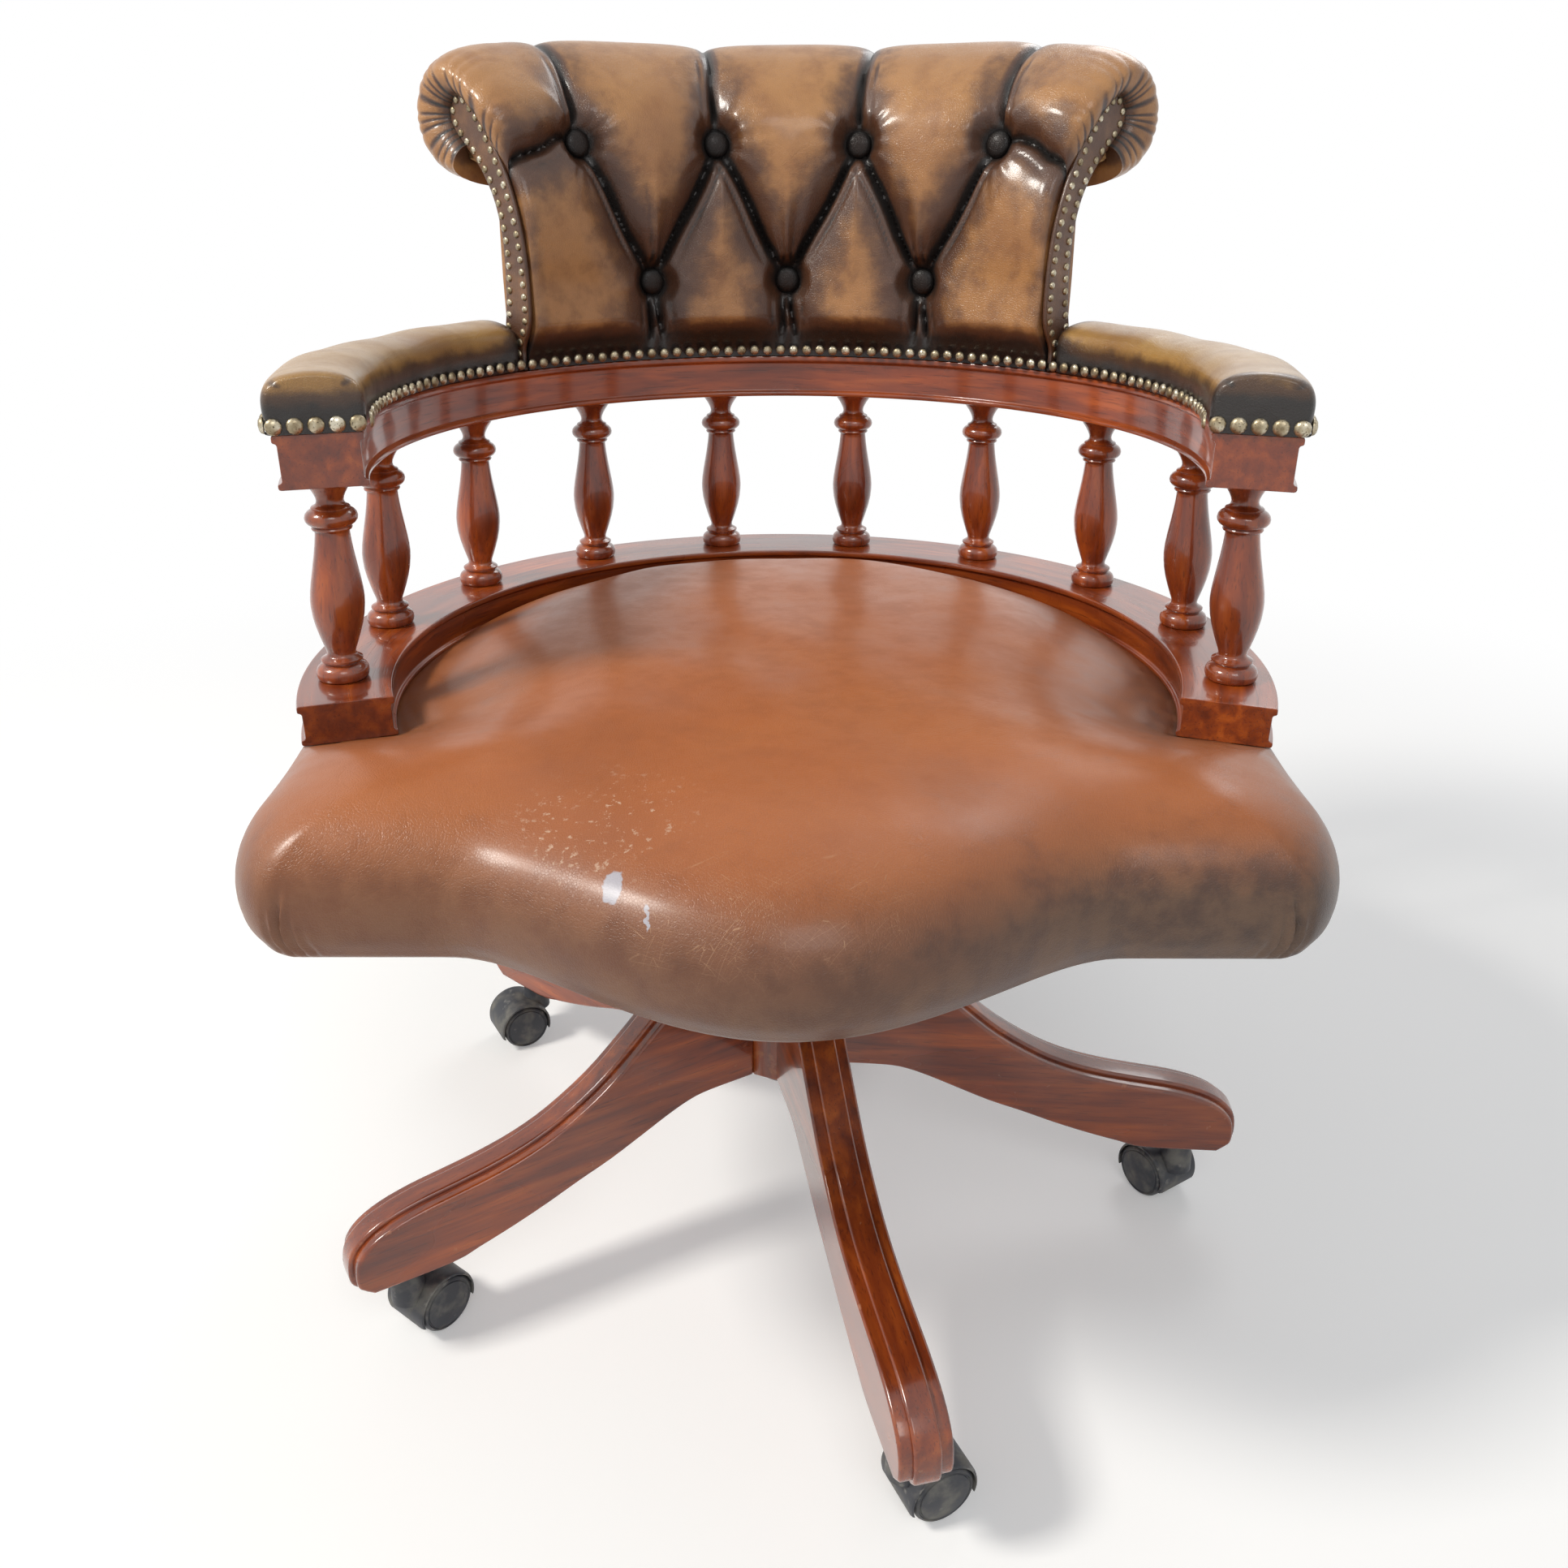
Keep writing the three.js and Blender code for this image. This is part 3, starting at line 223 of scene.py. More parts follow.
class Nodes:
    """A node tree, with a word for each kind of node that the materials are wired from."""

    def __init__(self, tree):
        self.tree = tree

    def put(self, socket, value):
        """Wires a socket or sets it; a colour of three numbers is written as 0 to 255."""
        if isinstance(value, bpy.types.NodeSocket):
            self.tree.links.new(value, socket)
        elif socket.type == "RGBA" and len(value) == 3:
            socket.default_value = srgb(*value)
        else:
            socket.default_value = value

    def add(self, kind, inputs=(), **settings):
        node = self.tree.nodes.new("ShaderNode" + kind)
        for name, value in settings.items():
            setattr(node, name, value)
        for name, value in dict(inputs).items():
            self.put(node.inputs[name], value)
        return node

    def where(self):
        return self.add("TexCoord").outputs["Object"]

    def stored(self, attribute, output):
        return self.add("Attribute", attribute_name=attribute).outputs[output]

    def maths(self, operation, *values):
        return self.add("Math", enumerate(values), operation=operation).outputs[0]

    def plus(self, first, second):
        return self.maths("ADD", first, second)

    def minus(self, first, second):
        return self.maths("SUBTRACT", first, second)

    def most(self, first, second):
        return self.maths("MAXIMUM", first, second)

    def times(self, first, *others):
        for other in others:
            first = self.maths("MULTIPLY", first, other)
        return first

    def vector(self, operation, *values, output="Vector"):
        return self.add("VectorMath", enumerate(values), operation=operation).outputs[output]

    def span(self, value, low, high, to_low=0.0, to_high=1.0):
        """A value eased from one range to another and held there."""
        inputs = enumerate((value, low, high, to_low, to_high))
        return self.add("MapRange", inputs, interpolation_type="SMOOTHSTEP").outputs["Result"]

    def mix(self, factor, first, second):
        inputs = {0: factor, 6: first, 7: second}
        return self.add("Mix", inputs, data_type="RGBA").outputs[2]

    def ramp(self, factor, *stops):
        node = self.add("ValToRGB", {"Fac": factor})
        elements = node.color_ramp.elements
        while len(elements) < len(stops):
            elements.new(0.5)
        for element, (position, colour) in zip(elements, stops):
            element.position = position
            element.color = colour if len(colour) == 4 else srgb(*colour)
        return node.outputs["Color"]

    def noise(self, place, scale, detail=2.0, output="Fac", **more):
        inputs = {"Vector": place, "Scale": scale, "Detail": detail} | more
        return self.add("TexNoise", inputs).outputs[output]

    def cells(self, place, scale):
        inputs = {"Vector": place, "Scale": scale}
        return self.add("TexVoronoi", inputs, feature="DISTANCE_TO_EDGE").outputs["Distance"]

    def bands(self, place, way, scale, **more):
        inputs = {"Vector": place, "Scale": scale} | more
        return self.add("TexWave", inputs, wave_type="BANDS", bands_direction=way).outputs["Fac"]

    def stretch(self, place, scale, **more):
        return self.add("Mapping", {"Vector": place, "Scale": scale} | more).outputs["Vector"]

    def group(self, tree, **inputs):
        return self.add("Group", inputs, node_tree=tree).outputs

    def dress(self, **values):
        """Sets or wires the shader's own sockets."""
        for label, value in values.items():
            self.put(self.shader.inputs[label.replace("_", " ")], value)

    def bump(self, height, distance, strength):
        inputs = {"Height": height, "Strength": strength, "Distance": distance}
        self.dress(Normal=self.add("Bump", inputs).outputs["Normal"])


def new_group(name, results, **inputs):
    """A shader node group with numbers for results; an input without a value is a place."""
    tree = bpy.data.node_groups.new(name, "ShaderNodeTree")
    for label, value in inputs.items():
        kind = "NodeSocketVector" if value is None else "NodeSocketFloat"
        socket = tree.interface.new_socket(label, in_out="INPUT", socket_type=kind)
        if value is not None:
            socket.default_value = value
    for label in results:
        tree.interface.new_socket(label, in_out="OUTPUT", socket_type="NodeSocketFloat")
    entry, leave = tree.nodes.new("NodeGroupInput"), tree.nodes.new("NodeGroupOutput")
    return Nodes(tree), entry.outputs, leave.inputs


def new_material(name, **values):
    """A material, with constants set on its Principled shader's own sockets."""
    material = bpy.data.materials.new(name)
    material.use_nodes = True
    paint = Nodes(material.node_tree)
    paint.material, paint.shader = material, material.node_tree.nodes["Principled BSDF"]
    paint.dress(**values)
    return paint


# Worn edges: the convex edges of a piece, broken up by noise.
wear, given, result = new_group("edge_wear", ["Mask"], Place=None, Reach=0.55, Breakup=90.0)
chips = wear.minus(wear.noise(given["Place"], given["Breakup"], 5.0), 0.5)
lifted = wear.plus(wear.add("NewGeometry").outputs["Pointiness"], wear.times(chips, 0.35))
wear.put(result["Mask"], wear.span(lifted, given["Reach"], wear.plus(given["Reach"], 0.06)))
edge_wear = wear.tree

# Mahogany figure: long dark streaks and short open pores along the grain.
figure, given, result = new_group("mahogany_figure", ["Streak", "Pore", "Cloud"], Grain=None)
for label, stretch, scale, detail in (
    ("Streak", (3.5, 34, 34), 3.2, 6.0),
    ("Pore", (30, 620, 620), 1.4, 3.0),
    ("Cloud", (5, 9, 9), 1.6, 3.0),
):
    stretched = figure.stretch(given["Grain"], stretch)
    figure.put(result[label], figure.noise(stretched, scale, detail, Distortion=0.35))
mahogany_figure = figure.tree


def mahogany_material(name, wear_reach):
    """Red-brown mahogany under a gloss lacquer that is rubbed pale on its edges."""
    paint = new_material(
        name, Coat_Weight=0.75, Coat_Roughness=0.09, Coat_IOR=1.5, Specular_IOR_Level=0.45
    )
    grain = paint.stored("grain", "Vector")
    figure = paint.group(mahogany_figure, Grain=grain)
    wood = paint.ramp(
        figure["Streak"],
        (0.28, (110, 44, 17)), (0.47, (148, 64, 21)), (0.60, (176, 82, 25)), (0.75, (200, 102, 34)),
    )
    cloud = paint.span(figure["Cloud"], 0.35, 0.7)
    wood = paint.mix(cloud, paint.mix(0.5, wood, (92, 36, 20)), wood)
    pores = paint.span(figure["Pore"], 0.56, 0.70)
    wood = paint.mix(paint.times(pores, 0.45), wood, (52, 16, 10))
    worn = paint.group(edge_wear, Place=grain, Reach=wear_reach, Breakup=120.0)["Mask"]
    wood = paint.mix(paint.times(worn, 0.6), wood, (196, 132, 84))
    rough = paint.plus(0.24, paint.times(cloud, 0.10))
    paint.dress(Base_Color=wood, Roughness=paint.plus(rough, paint.times(worn, 0.25)))
    paint.bump(paint.times(pores, -1.0), 0.00012, 0.5)
    return paint


def points_of(piece):
    """The piece's points as rows of x, y and z."""
    rows = np.empty(len(piece.data.vertices) * 3, np.float32)
    piece.data.vertices.foreach_get("co", rows)
    return rows.reshape(-1, 3)


def lay_grain(piece, along, place=(0, 0, 0)):
    """Stores each point's place with X along the grain, for the wood to read."""
    x, y, z = (points_of(piece) - np.array(place)).T
    if along == "Z":
        x, y, z = z, x, y
    elif along == "ring":
        x, y = np.arctan2(x, y) * RING_GRAIN, np.hypot(x, y)
    rows = np.stack([x, y, z], axis=1).astype(np.float32)
    attribute = piece.data.attributes.new("grain", "FLOAT_VECTOR", "POINT")
    attribute.data.foreach_set("vector", rows.ravel())


hub_foot, hub_top = heights_of("hub")
hub_outline = [
    Matrix.Rotation(turn, 3, "Z") @ Vector((HUB_FLAT, side * LEG_WIDTH / 2, 0))
    for turn in leg_turns
    for side in (-1, 1)
]
hub_outline = [spot(corner.x, corner.y, hub_foot) for corner in hub_outline]
hub = saw_board("hub", hub_outline, (0, 0, hub_top - hub_foot))
ease_edges(hub, 1.5)
bore(hub, spot(0, 0, hub_foot + 60), HUB_BORE, 200, sides=48)
smooth_faces(hub)
lay_grain(hub, "Z", place=column)
base_wood = mahogany_material("mahogany_base", wear_reach=0.585)
hand_over(hub, "base", "mahogany", base_wood, "hub")


# ---- Legs
# Five bow-shaped legs sawn from thick mahogany, with a rounded bead standing along the top
# of each and round its toe. They are glued and bolted to the hub's flats.
LEG_REACH = 341
LEG_FOOT = 58
LEG_TOP = 242
BEAD_DROP = 3.2
BEAD_WIDTH = 17
leg_names = ["front", "right", "back_right", "back_left", "left"]
leg_top_shares = [
    (0, 1), (0.073, 0.978), (0.155, 0.891), (0.238, 0.766), (0.32, 0.641), (0.403, 0.527),
    (0.502, 0.429), (0.584, 0.375), (0.667, 0.342), (0.749, 0.321), (0.832, 0.302), (0.904, 0.272),
    (0.957, 0.228), (0.99, 0.168), (1, 0.098), (0.997, 0.04), (0.98, 0.008),
]
leg_under_shares = [
    (0.957, 0), (0.782, 0), (0.716, 0.024), (0.634, 0.06), (0.551, 0.103), (0.469, 0.152),
    (0.386, 0.198), (0.304, 0.255), (0.238, 0.302), (0.178, 0.337), (0.122, 0.35), (0, 0.35),
]


def smooth_line(points, steps=3):
    """Flat points along a smooth curve through the given ones."""
    points = np.array(points, float)
    padded = np.concatenate([[2 * points[0] - points[1]], points, [2 * points[-1] - points[-2]]])
    curve = []
    for before, start, end, after in zip(padded, points, points[1:], padded[3:]):
        for t in np.arange(steps) / steps:
            bend = (2 * before - 5 * start + 4 * end - after) * t**2
            bend += (3 * start - before - 3 * end + after) * t**3
            curve.append(0.5 * (2 * start + (end - before) * t + bend))
    return np.array([*curve, points[-1]])


def left_of(line):
    """Unit steps square to a flat line, to its left."""
    slope = np.gradient(line, axis=0)
    slope /= np.linalg.norm(slope, axis=1, keepdims=True)
    return np.stack([-slope[:, 1], slope[:, 0]], axis=1)


def leg_line(shares, drop=0.0):
    """A side line of the leg, drawn in square to itself by the drop."""
    size = (LEG_REACH - HUB_FLAT, LEG_TOP - LEG_FOOT)
    line = smooth_line(np.array(shares) * size + (HUB_FLAT, LEG_FOOT))
    inward = -left_of(line)
    inward[0] = (0, -1)
    return line + inward * drop


def copy_of(blank, name, matrix):
    """A copy of a blank with a mesh of its own, set in its place."""
    piece = blank.copy()
    piece.data = blank.data.copy()
    piece.name = piece.data.name = name
    bpy.context.collection.objects.link(piece)
    piece.data.transform(matrix)
    return piece


leg_blank = None
for width, drop, easing in ((LEG_WIDTH, BEAD_DROP, 2.4), (BEAD_WIDTH, 0.0, 2.2)):
    outline = [*leg_line(leg_top_shares, drop), *leg_line(leg_under_shares)]
    outline = [spot(x, -width / 2, z, origin=Vector()) for x, z in outline]
    board = ease_edges(saw_board("leg_blank", outline, (0, width, 0)), easing, angle=50)
    leg_blank = join_cut(leg_blank, board) if leg_blank else board
smooth_faces(leg_blank, 32)
lay_grain(leg_blank, "X")
for name, turn in zip(leg_names, leg_turns):
    stand = Matrix.Translation(column) @ Matrix.Rotation(turn, 4, "Z")
    leg = copy_of(leg_blank, f"leg_{name}_dressed", stand)
    hand_over(leg, "base", "mahogany", base_wood, f"leg_{name}")
bpy.data.objects.remove(leg_blank)


# ---- Castors
# Twin-wheel castors: a moulded hood with a web between the wheels and a steel stem pushed up
# into the leg, and two domed wheels on one axle. Charcoal nylon, dusty from the floor.
AXLE_HEIGHT = 20.5
WHEEL_INNER = 4.1
WHEEL_OUTER = 19.6
WHEEL_RADIUS = 20.5
WHEEL_ROOM = 21.3
HOOD_RADIUS = 23.2
HOOD_SKIRT = 14
TRAIL = 17

# Settled dust: soft grey patches with a fine grit in them.
layer, given, result = new_group("settled_dust", ["Mask", "Grit"], Place=None, Low=0.45, High=0.75)
patches = layer.noise(given["Place"], 60.0, 6.0)
layer.put(result["Mask"], layer.span(patches, given["Low"], given["High"]))
layer.put(result["Grit"], layer.noise(given["Place"], 900.0))
settled_dust = layer.tree

nylon = new_material("charcoal_nylon", Specular_IOR_Level=0.4)
place = nylon.where()
dust = nylon.group(settled_dust, Place=place, Low=0.42, High=0.72)
scuffed = nylon.group(edge_wear, Place=place, Reach=0.57, Breakup=140.0)["Mask"]
colour = nylon.mix(dust["Mask"], (58, 60, 66), (118, 116, 110))
colour = nylon.mix(nylon.times(scuffed, 0.6), colour, (140, 138, 132))
nylon.dress(Base_Color=colour, Roughness=nylon.plus(0.42, nylon.times(dust["Mask"], 0.3)))
nylon.bump(dust["Grit"], 0.00008, 0.6)


def turned_piece(name, profile, place=(0, 0, 0), axis=(0, 0, 1), steps=48, closed=False):
    """A profile of (radius, height) spun round its axis, as on a lathe."""
    place, axis = Vector(place), Vector(axis).normalized()
    across = axis.orthogonal().normalized()
    points = [place + across * (radius * MM) + axis * (height * MM) for radius, height in profile]
    piece = draw_line(name, points, closed)
    bpy.ops.mesh.spin(steps=steps, angle=math.tau, center=place, axis=axis)
    return close_skin(piece)


def both_ends(half):
    """A profile that is the same below the middle as above it, written from the top."""
    return [(radius, -height) for radius, height in half] + list(half)[::-1]


def block(centre, size):
    """A plain block to cut with."""
    put_down()
    bpy.ops.mesh.primitive_cube_add(size=1, location=centre)
    tool = bpy.context.object
    tool.scale = Vector(size) * MM
    take_up(tool)
    bpy.ops.object.transform_apply()
    return tool


hood_side = [
    (0, WHEEL_OUTER), (HOOD_RADIUS - 2.4, WHEEL_OUTER), (HOOD_RADIUS - 0.7, WHEEL_OUTER - 0.9),
    (HOOD_RADIUS, WHEEL_OUTER - 3),
]
hood = turned_piece("hood_blank", both_ends(hood_side), axis=(0, 1, 0), steps=56)
trailing = Vector((-TRAIL * MM, 0, 0))
boss_side = [(0, 10), (12, 10), (11.5, 24), (10, 27), (10, 36.8), (8.5, 37.3), (0, 37.3)]
join_cut(hood, turned_piece("boss_blank", boss_side, place=trailing, steps=32))
for side in (-1, 1):
    middle = Vector((0, side * (WHEEL_INNER - 0.6 + WHEEL_OUTER / 2) * MM, 0))
    bore(hood, middle, WHEEL_ROOM, WHEEL_OUTER, "Y", sides=56)
below = Vector((0, 0, (-AXLE_HEIGHT + HOOD_SKIRT - 50) * MM))
join_cut(hood, block(below, (120, 120, 100)), "DIFFERENCE")
ease_edges(hood, 0.6, segments=2, angle=50)
stem_side = [(0, 30), (5.5, 30), (5.5, 74), (4.6, 75), (0, 75)]
join_cut(hood, turned_piece("stem_blank", stem_side, place=trailing, steps=24))
smooth_faces(hood, 38)

wheel_side = [
    (0, WHEEL_OUTER + 1.9), (5, WHEEL_OUTER + 1.7), (12, WHEEL_OUTER + 1.0),
    (16.5, WHEEL_OUTER - 0.1), (17, WHEEL_OUTER - 0.9), (17.6, WHEEL_OUTER - 0.9),
    (18.2, WHEEL_OUTER - 0.2), (19.4, WHEEL_OUTER - 0.9), (20.3, WHEEL_OUTER - 2.4),
    (WHEEL_RADIUS, WHEEL_OUTER - 4.5),
    (WHEEL_RADIUS, WHEEL_INNER + 2), (19.8, WHEEL_INNER + 0.4), (18.6, WHEEL_INNER), (3, WHEEL_INNER),
]
wheels = turned_piece("wheels_blank", both_ends(wheel_side), axis=(0, 1, 0), steps=56)
smooth_faces(wheels, 38)
castor_joints = {joint["name"]: joint for joint in frame["record"]["behaviour"]["joints"]}
for name in leg_names:
    joint = castor_joints[f"castor_wheel_turn_{name}"]
    heading = math.atan2(-joint["axis"][0], joint["axis"][1])
    stand = Matrix.Translation(Vector(joint["pos_m"])) @ Matrix.Rotation(heading, 4, "Z")
    for blank, part, body in ((hood, "hood", "swivel"), (wheels, "wheels", "roll")):
        piece = copy_of(blank, f"castor_{part}_{name}_dressed", stand)
        hand_over(piece, f"castor_{body}_{name}", "castor_plastic", nylon, f"castor_{part}_{name}")
bpy.data.objects.remove(hood)
bpy.data.objects.remove(wheels)


# ---- Gas column
# A black steel tube pressed through the hub, a thrust bearing and a bright piston rod on its
# floor, and the gas cylinder that slides down over the rod through a bush in the tube's mouth.
TUBE_FOOT = 108
TUBE_TOP = 273
BUSH_FOOT = TUBE_TOP - 60
BUSH_BORE = 14.35
GAS_FLOOR = 252
enamel = new_material("black_enamel", Coat_Weight=0.35, Coat_Roughness=0.2)
place = enamel.where()
dust = enamel.group(settled_dust, Place=place, Low=0.5, High=0.8)
chipped = enamel.group(edge_wear, Place=place, Reach=0.60, Breakup=220.0)["Mask"]
coloured = enamel.mix(enamel.times(dust["Mask"], 0.5), (26, 27, 28), (86, 82, 76))
enamel.dress(
    Base_Color=enamel.mix(chipped, coloured, (150, 150, 148)),
    Roughness=enamel.plus(0.3, enamel.times(dust["Mask"], 0.35)),
    Metallic=enamel.times(chipped, 0.9),
)
enamel.bump(dust["Grit"], 0.00005, 0.5)

steel = new_material("ground_steel", Metallic=0.95)
place = steel.where()
turned_marks = steel.noise(steel.stretch(place, (60, 60, 2600)), 1.0, 3.0)
film = steel.times(steel.group(settled_dust, Place=place, Low=0.45, High=0.8)["Mask"], 0.55)
steel.dress(
    Base_Color=steel.mix(film, (178, 180, 182), (112, 104, 92)),
    Roughness=steel.span(turned_marks, 0.3, 0.7, 0.2, 0.42),
)
steel.bump(turned_marks, 0.00003, 0.4)

tube_side = [
    (25, TUBE_FOOT + 2), (25, hub_top + 2), (24.4, hub_top + 3.5), (24.4, TUBE_TOP - 8),
    (24.9, TUBE_TOP - 7), (24.9, TUBE_TOP - 2), (23.5, TUBE_TOP), (BUSH_BORE + 1, TUBE_TOP),
    (BUSH_BORE, TUBE_TOP - 1), (BUSH_BORE, BUSH_FOOT), (23, BUSH_FOOT), (23, TUBE_FOOT + 3),
    (5.4, TUBE_FOOT + 3), (5.4, TUBE_FOOT), (23, TUBE_FOOT),
]
tube = smooth_faces(turned_piece("gas_tube_dressed", tube_side, column, closed=True))
hand_over(tube, "base", "black_steel", enamel, "gas_tube")

BEARING_FOOT = TUBE_FOOT + 3.3
bearing_side = [(5.4, 0), (12, 0), (12, 1.8), (11, 2.1), (11, 3.9), (12, 4.2), (12, 6), (5.4, 6)]
bearing_place = spot(0, 0, BEARING_FOOT)
bearing = turned_piece("thrust_bearing_dressed", bearing_side, bearing_place, closed=True)
hand_over(smooth_faces(bearing), "base", "bright_steel", steel, "thrust_bearing")

COLLAR_FOOT = BEARING_FOOT + 6.3
rod_top = heights_of("piston_rod")[1]
rod_side = [
    (0, TUBE_FOOT - 4), (4.2, TUBE_FOOT - 4), (5, TUBE_FOOT - 3.2), (5, COLLAR_FOOT),
    (8.6, COLLAR_FOOT), (9, COLLAR_FOOT + 0.4), (9, COLLAR_FOOT + 2.6), (8.6, COLLAR_FOOT + 3),
    (5, COLLAR_FOOT + 3), (5, rod_top - 0.8), (4.2, rod_top), (0, rod_top),
]
rod = smooth_faces(turned_piece("piston_rod_dressed", rod_side, column, steps=32))
hand_over(rod, "rod", "bright_steel", steel, "piston_rod")

cylinder_foot, cylinder_top = heights_of("gas_cylinder")
CYLINDER_HEAD = cylinder_top - 3
cylinder_side = [
    (0, GAS_FLOOR), (5.3, GAS_FLOOR), (5.3, cylinder_foot), (12.8, cylinder_foot),
    (14, cylinder_foot + 1.2), (14, CYLINDER_HEAD - 1.5), (12.8, CYLINDER_HEAD), (4, CYLINDER_HEAD),
    (4, CYLINDER_HEAD + 2.6), (3.4, cylinder_top), (0, cylinder_top),
]
cylinder = smooth_faces(turned_piece("gas_cylinder_dressed", cylinder_side, column))
hand_over(cylinder, "mechanism", "black_steel", enamel, "gas_cylinder")


# ---- Tilt mechanism
# A black enamelled steel box clamped on the cylinder's cone, with a lug in front for the spring
# bolt and two ears at the side that carry the height lever on a pin.
PIVOT_Y = -58
PIVOT_HEIGHT = 324
PIN_BORE = 5.35
LEVER_BORE = 2.8
PIVOT = spot(0, PIVOT_Y, PIVOT_HEIGHT)
BOLT = spot(0, -99)
LEVER = spot(40, -12, 303)
ALONG_X, ALONG_Y = (1, 0, 0), (0, 1, 0)
housing_outline = ((-82, 292), (50, 292), (50, 315), (-34, 336), (-82, 336))
housing_outline = [spot(-32, y, z) for y, z in housing_outline]
housing = saw_board("tilt_housing_dressed", housing_outline, (64, 0, 0))
ease_edges(housing, 3, angle=20)
lug_outline = ((-17, -80), (-17, -108), (-9, -116), (9, -116), (17, -108), (17, -80))
lug = saw_board("lug", [spot(x, y, 308) for x, y in lug_outline], (0, 0, 8))
join_cut(housing, ease_edges(lug, 1.2, segments=2))
ear_outline = ((-10, -6.5), (3, -6.5), (7, -3), (7, 3), (3, 6.5), (-10, 6.5))
for y in (-7.3, 4.3):
    join_cut(housing, saw_board("ear", [spot(x, y, z, LEVER) for x, z in ear_outline], (0, 3, 0)))
for centre, radius, depth, way in (
    (spot(0, 0, 290), 14.4, 58.6, "Z"),
    (spot(0, 0, 312), 4.5, 20.6, "Z"),
    (PIVOT, PIN_BORE, 80, "X"),
    (spot(0, 0, 312, BOLT), 9.2, 30, "Z"),
    (LEVER, LEVER_BORE, 30, "Y"),
):
    bore(housing, centre, radius, depth, way)
rivet_side = [(0, -2), (4, -2), (4, 0.6), (3.2, 1.2), (0, 1.5)]
for side in (-1, 1):
    for y in (-70, 30):
        rivet_place = spot(side * 32, y, 300)
        join_cut(housing, turned_piece("rivet", rivet_side, rivet_place, (side, 0, 0), steps=16))
smooth_faces(housing, 30)
hand_over(housing, "mechanism", "black_steel", enamel, "tilt_housing")

pin_side = both_ends([(0, 7.3), (2.1, 7.3), (2.5, 6.9)])
lever_pin = smooth_faces(turned_piece("lever_pin_dressed", pin_side, LEVER, ALONG_Y, steps=20))
hand_over(lever_pin, "mechanism", "bright_steel", steel, "lever_pin")

# The lever: a bent-eyed steel rod with a flat moulded paddle to pull up.
moulded = new_material("moulded_black", Specular_IOR_Level=0.4)
place = moulded.where()
grained = moulded.noise(place, 1400.0)
handled = moulded.group(edge_wear, Place=place, Reach=0.56, Breakup=160.0)["Mask"]
moulded.dress(
    Base_Color=moulded.mix(moulded.times(handled, 0.7), (28, 28, 30), (92, 92, 92)),
    Roughness=moulded.span(grained, 0.3, 0.7, 0.4, 0.58),
)
moulded.bump(grained, 0.00006, 0.6)

eye_side = both_ends([(0, 4), (6, 4), (6.5, 3.5)])
shank_side = [(0, 2), (4, 2), (4, 112), (0, 112)]
paddle_outline = both_ends([(108, 5), (116, 11), (126, 13), (152, 13), (158, 10), (160, 4)])
lever = turned_piece("height_lever_dressed", eye_side, LEVER, ALONG_Y, steps=32)
join_cut(lever, turned_piece("shank", shank_side, LEVER, ALONG_X, steps=24))
paddle = saw_board("paddle", [spot(x, y, -3.5, LEVER) for x, y in paddle_outline], (0, 0, 7))
join_cut(lever, ease_edges(paddle, 2.2, angle=50))
bore(lever, LEVER, LEVER_BORE, 20, "Y", sides=24)
smooth_faces(lever, 32)
hand_over(lever, "lever", "black_plastic", moulded, "height_lever")

# The tension knob: a fluted grip moulded on the foot of a steel bolt.
knob_foot, knob_top = heights_of("tension_knob")
knob_place = spot(0, 0, knob_foot, BOLT)
knob_side = [
    (0, 1.5), (9, 1.5), (10, 0), (17.5, 0), (20, 2.5), (20, 14), (18.4, 16.6), (15, 18), (4, 18),
    (4, knob_top - knob_foot), (0, knob_top - knob_foot),
]
knob = turned_piece("tension_knob_dressed", knob_side, knob_place)
for turn in np.arange(10) * math.tau / 10:
    flute = spot(21.5 * math.cos(turn), 21.5 * math.sin(turn), 0, knob_place)
    bore(knob, flute, 3.4, 60, sides=16)
hand_over(smooth_faces(knob), "knob", "black_plastic", moulded, "tension_knob")

# The coil spring: one wound wire held between the lug and the knob, which gives as the seat tilts.
WIRE = 1.6
COIL_RADIUS = 11.9
COILS = 5
PER_COIL = 24
spring_low, spring_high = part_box("tilt_spring")
first_height, last_height = spring_low[2] / MM + WIRE, spring_high[2] / MM - WIRE
coil = []
for step in range(COILS * PER_COIL + 1):
    wound = step / PER_COIL
    height = np.interp(wound, (0.25, COILS - 0.25), (first_height, last_height))
    x, y = math.cos(wound * math.tau), math.sin(wound * math.tau)
    coil.append(spot(x * COIL_RADIUS, y * COIL_RADIUS, height, BOLT))
draw_line("tilt_spring_dressed", coil)
bpy.ops.object.mode_set(mode="OBJECT")
bpy.ops.object.convert(target="CURVE")
spring = bpy.context.object
spring.data.bevel_depth = WIRE * MM
spring.data.bevel_resolution = 2
spring.data.use_fill_caps = True
bpy.ops.object.convert(target="MESH")
spring = smooth_faces(bpy.context.object, 60)
hand_over(spring, None, "bright_steel", steel, "tilt_spring")
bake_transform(spring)

# The seat plate: 3 mm steel with two ears for the pivot pin and slots for the seat screws.
PLATE_GAUGE = 3
plate_low, plate_top = heights_of("seat_plate")
plate_foot = plate_top - PLATE_GAUGE
plate_outline = [
    (-90, -112), (-82, -120), (82, -120), (90, -112), (90, 67), (82, 75), (-82, 75), (-90, 67)
]
plate_outline = [spot(x, y, plate_foot) for x, y in plate_outline]
plate = saw_board("seat_plate_dressed", plate_outline, (0, 0, PLATE_GAUGE))
ear_half = [(-15, plate_top - 1), (-15, PIVOT_HEIGHT), (-10, plate_low + 2), (-5, plate_low)]
ear_outline = ear_half + [(-y, z) for y, z in ear_half[::-1]]
for x in (-35.6, 32.6):
    ear = saw_board("ear", [spot(x, PIVOT_Y + y, z) for y, z in ear_outline], (3, 0, 0))
    join_cut(plate, ear)
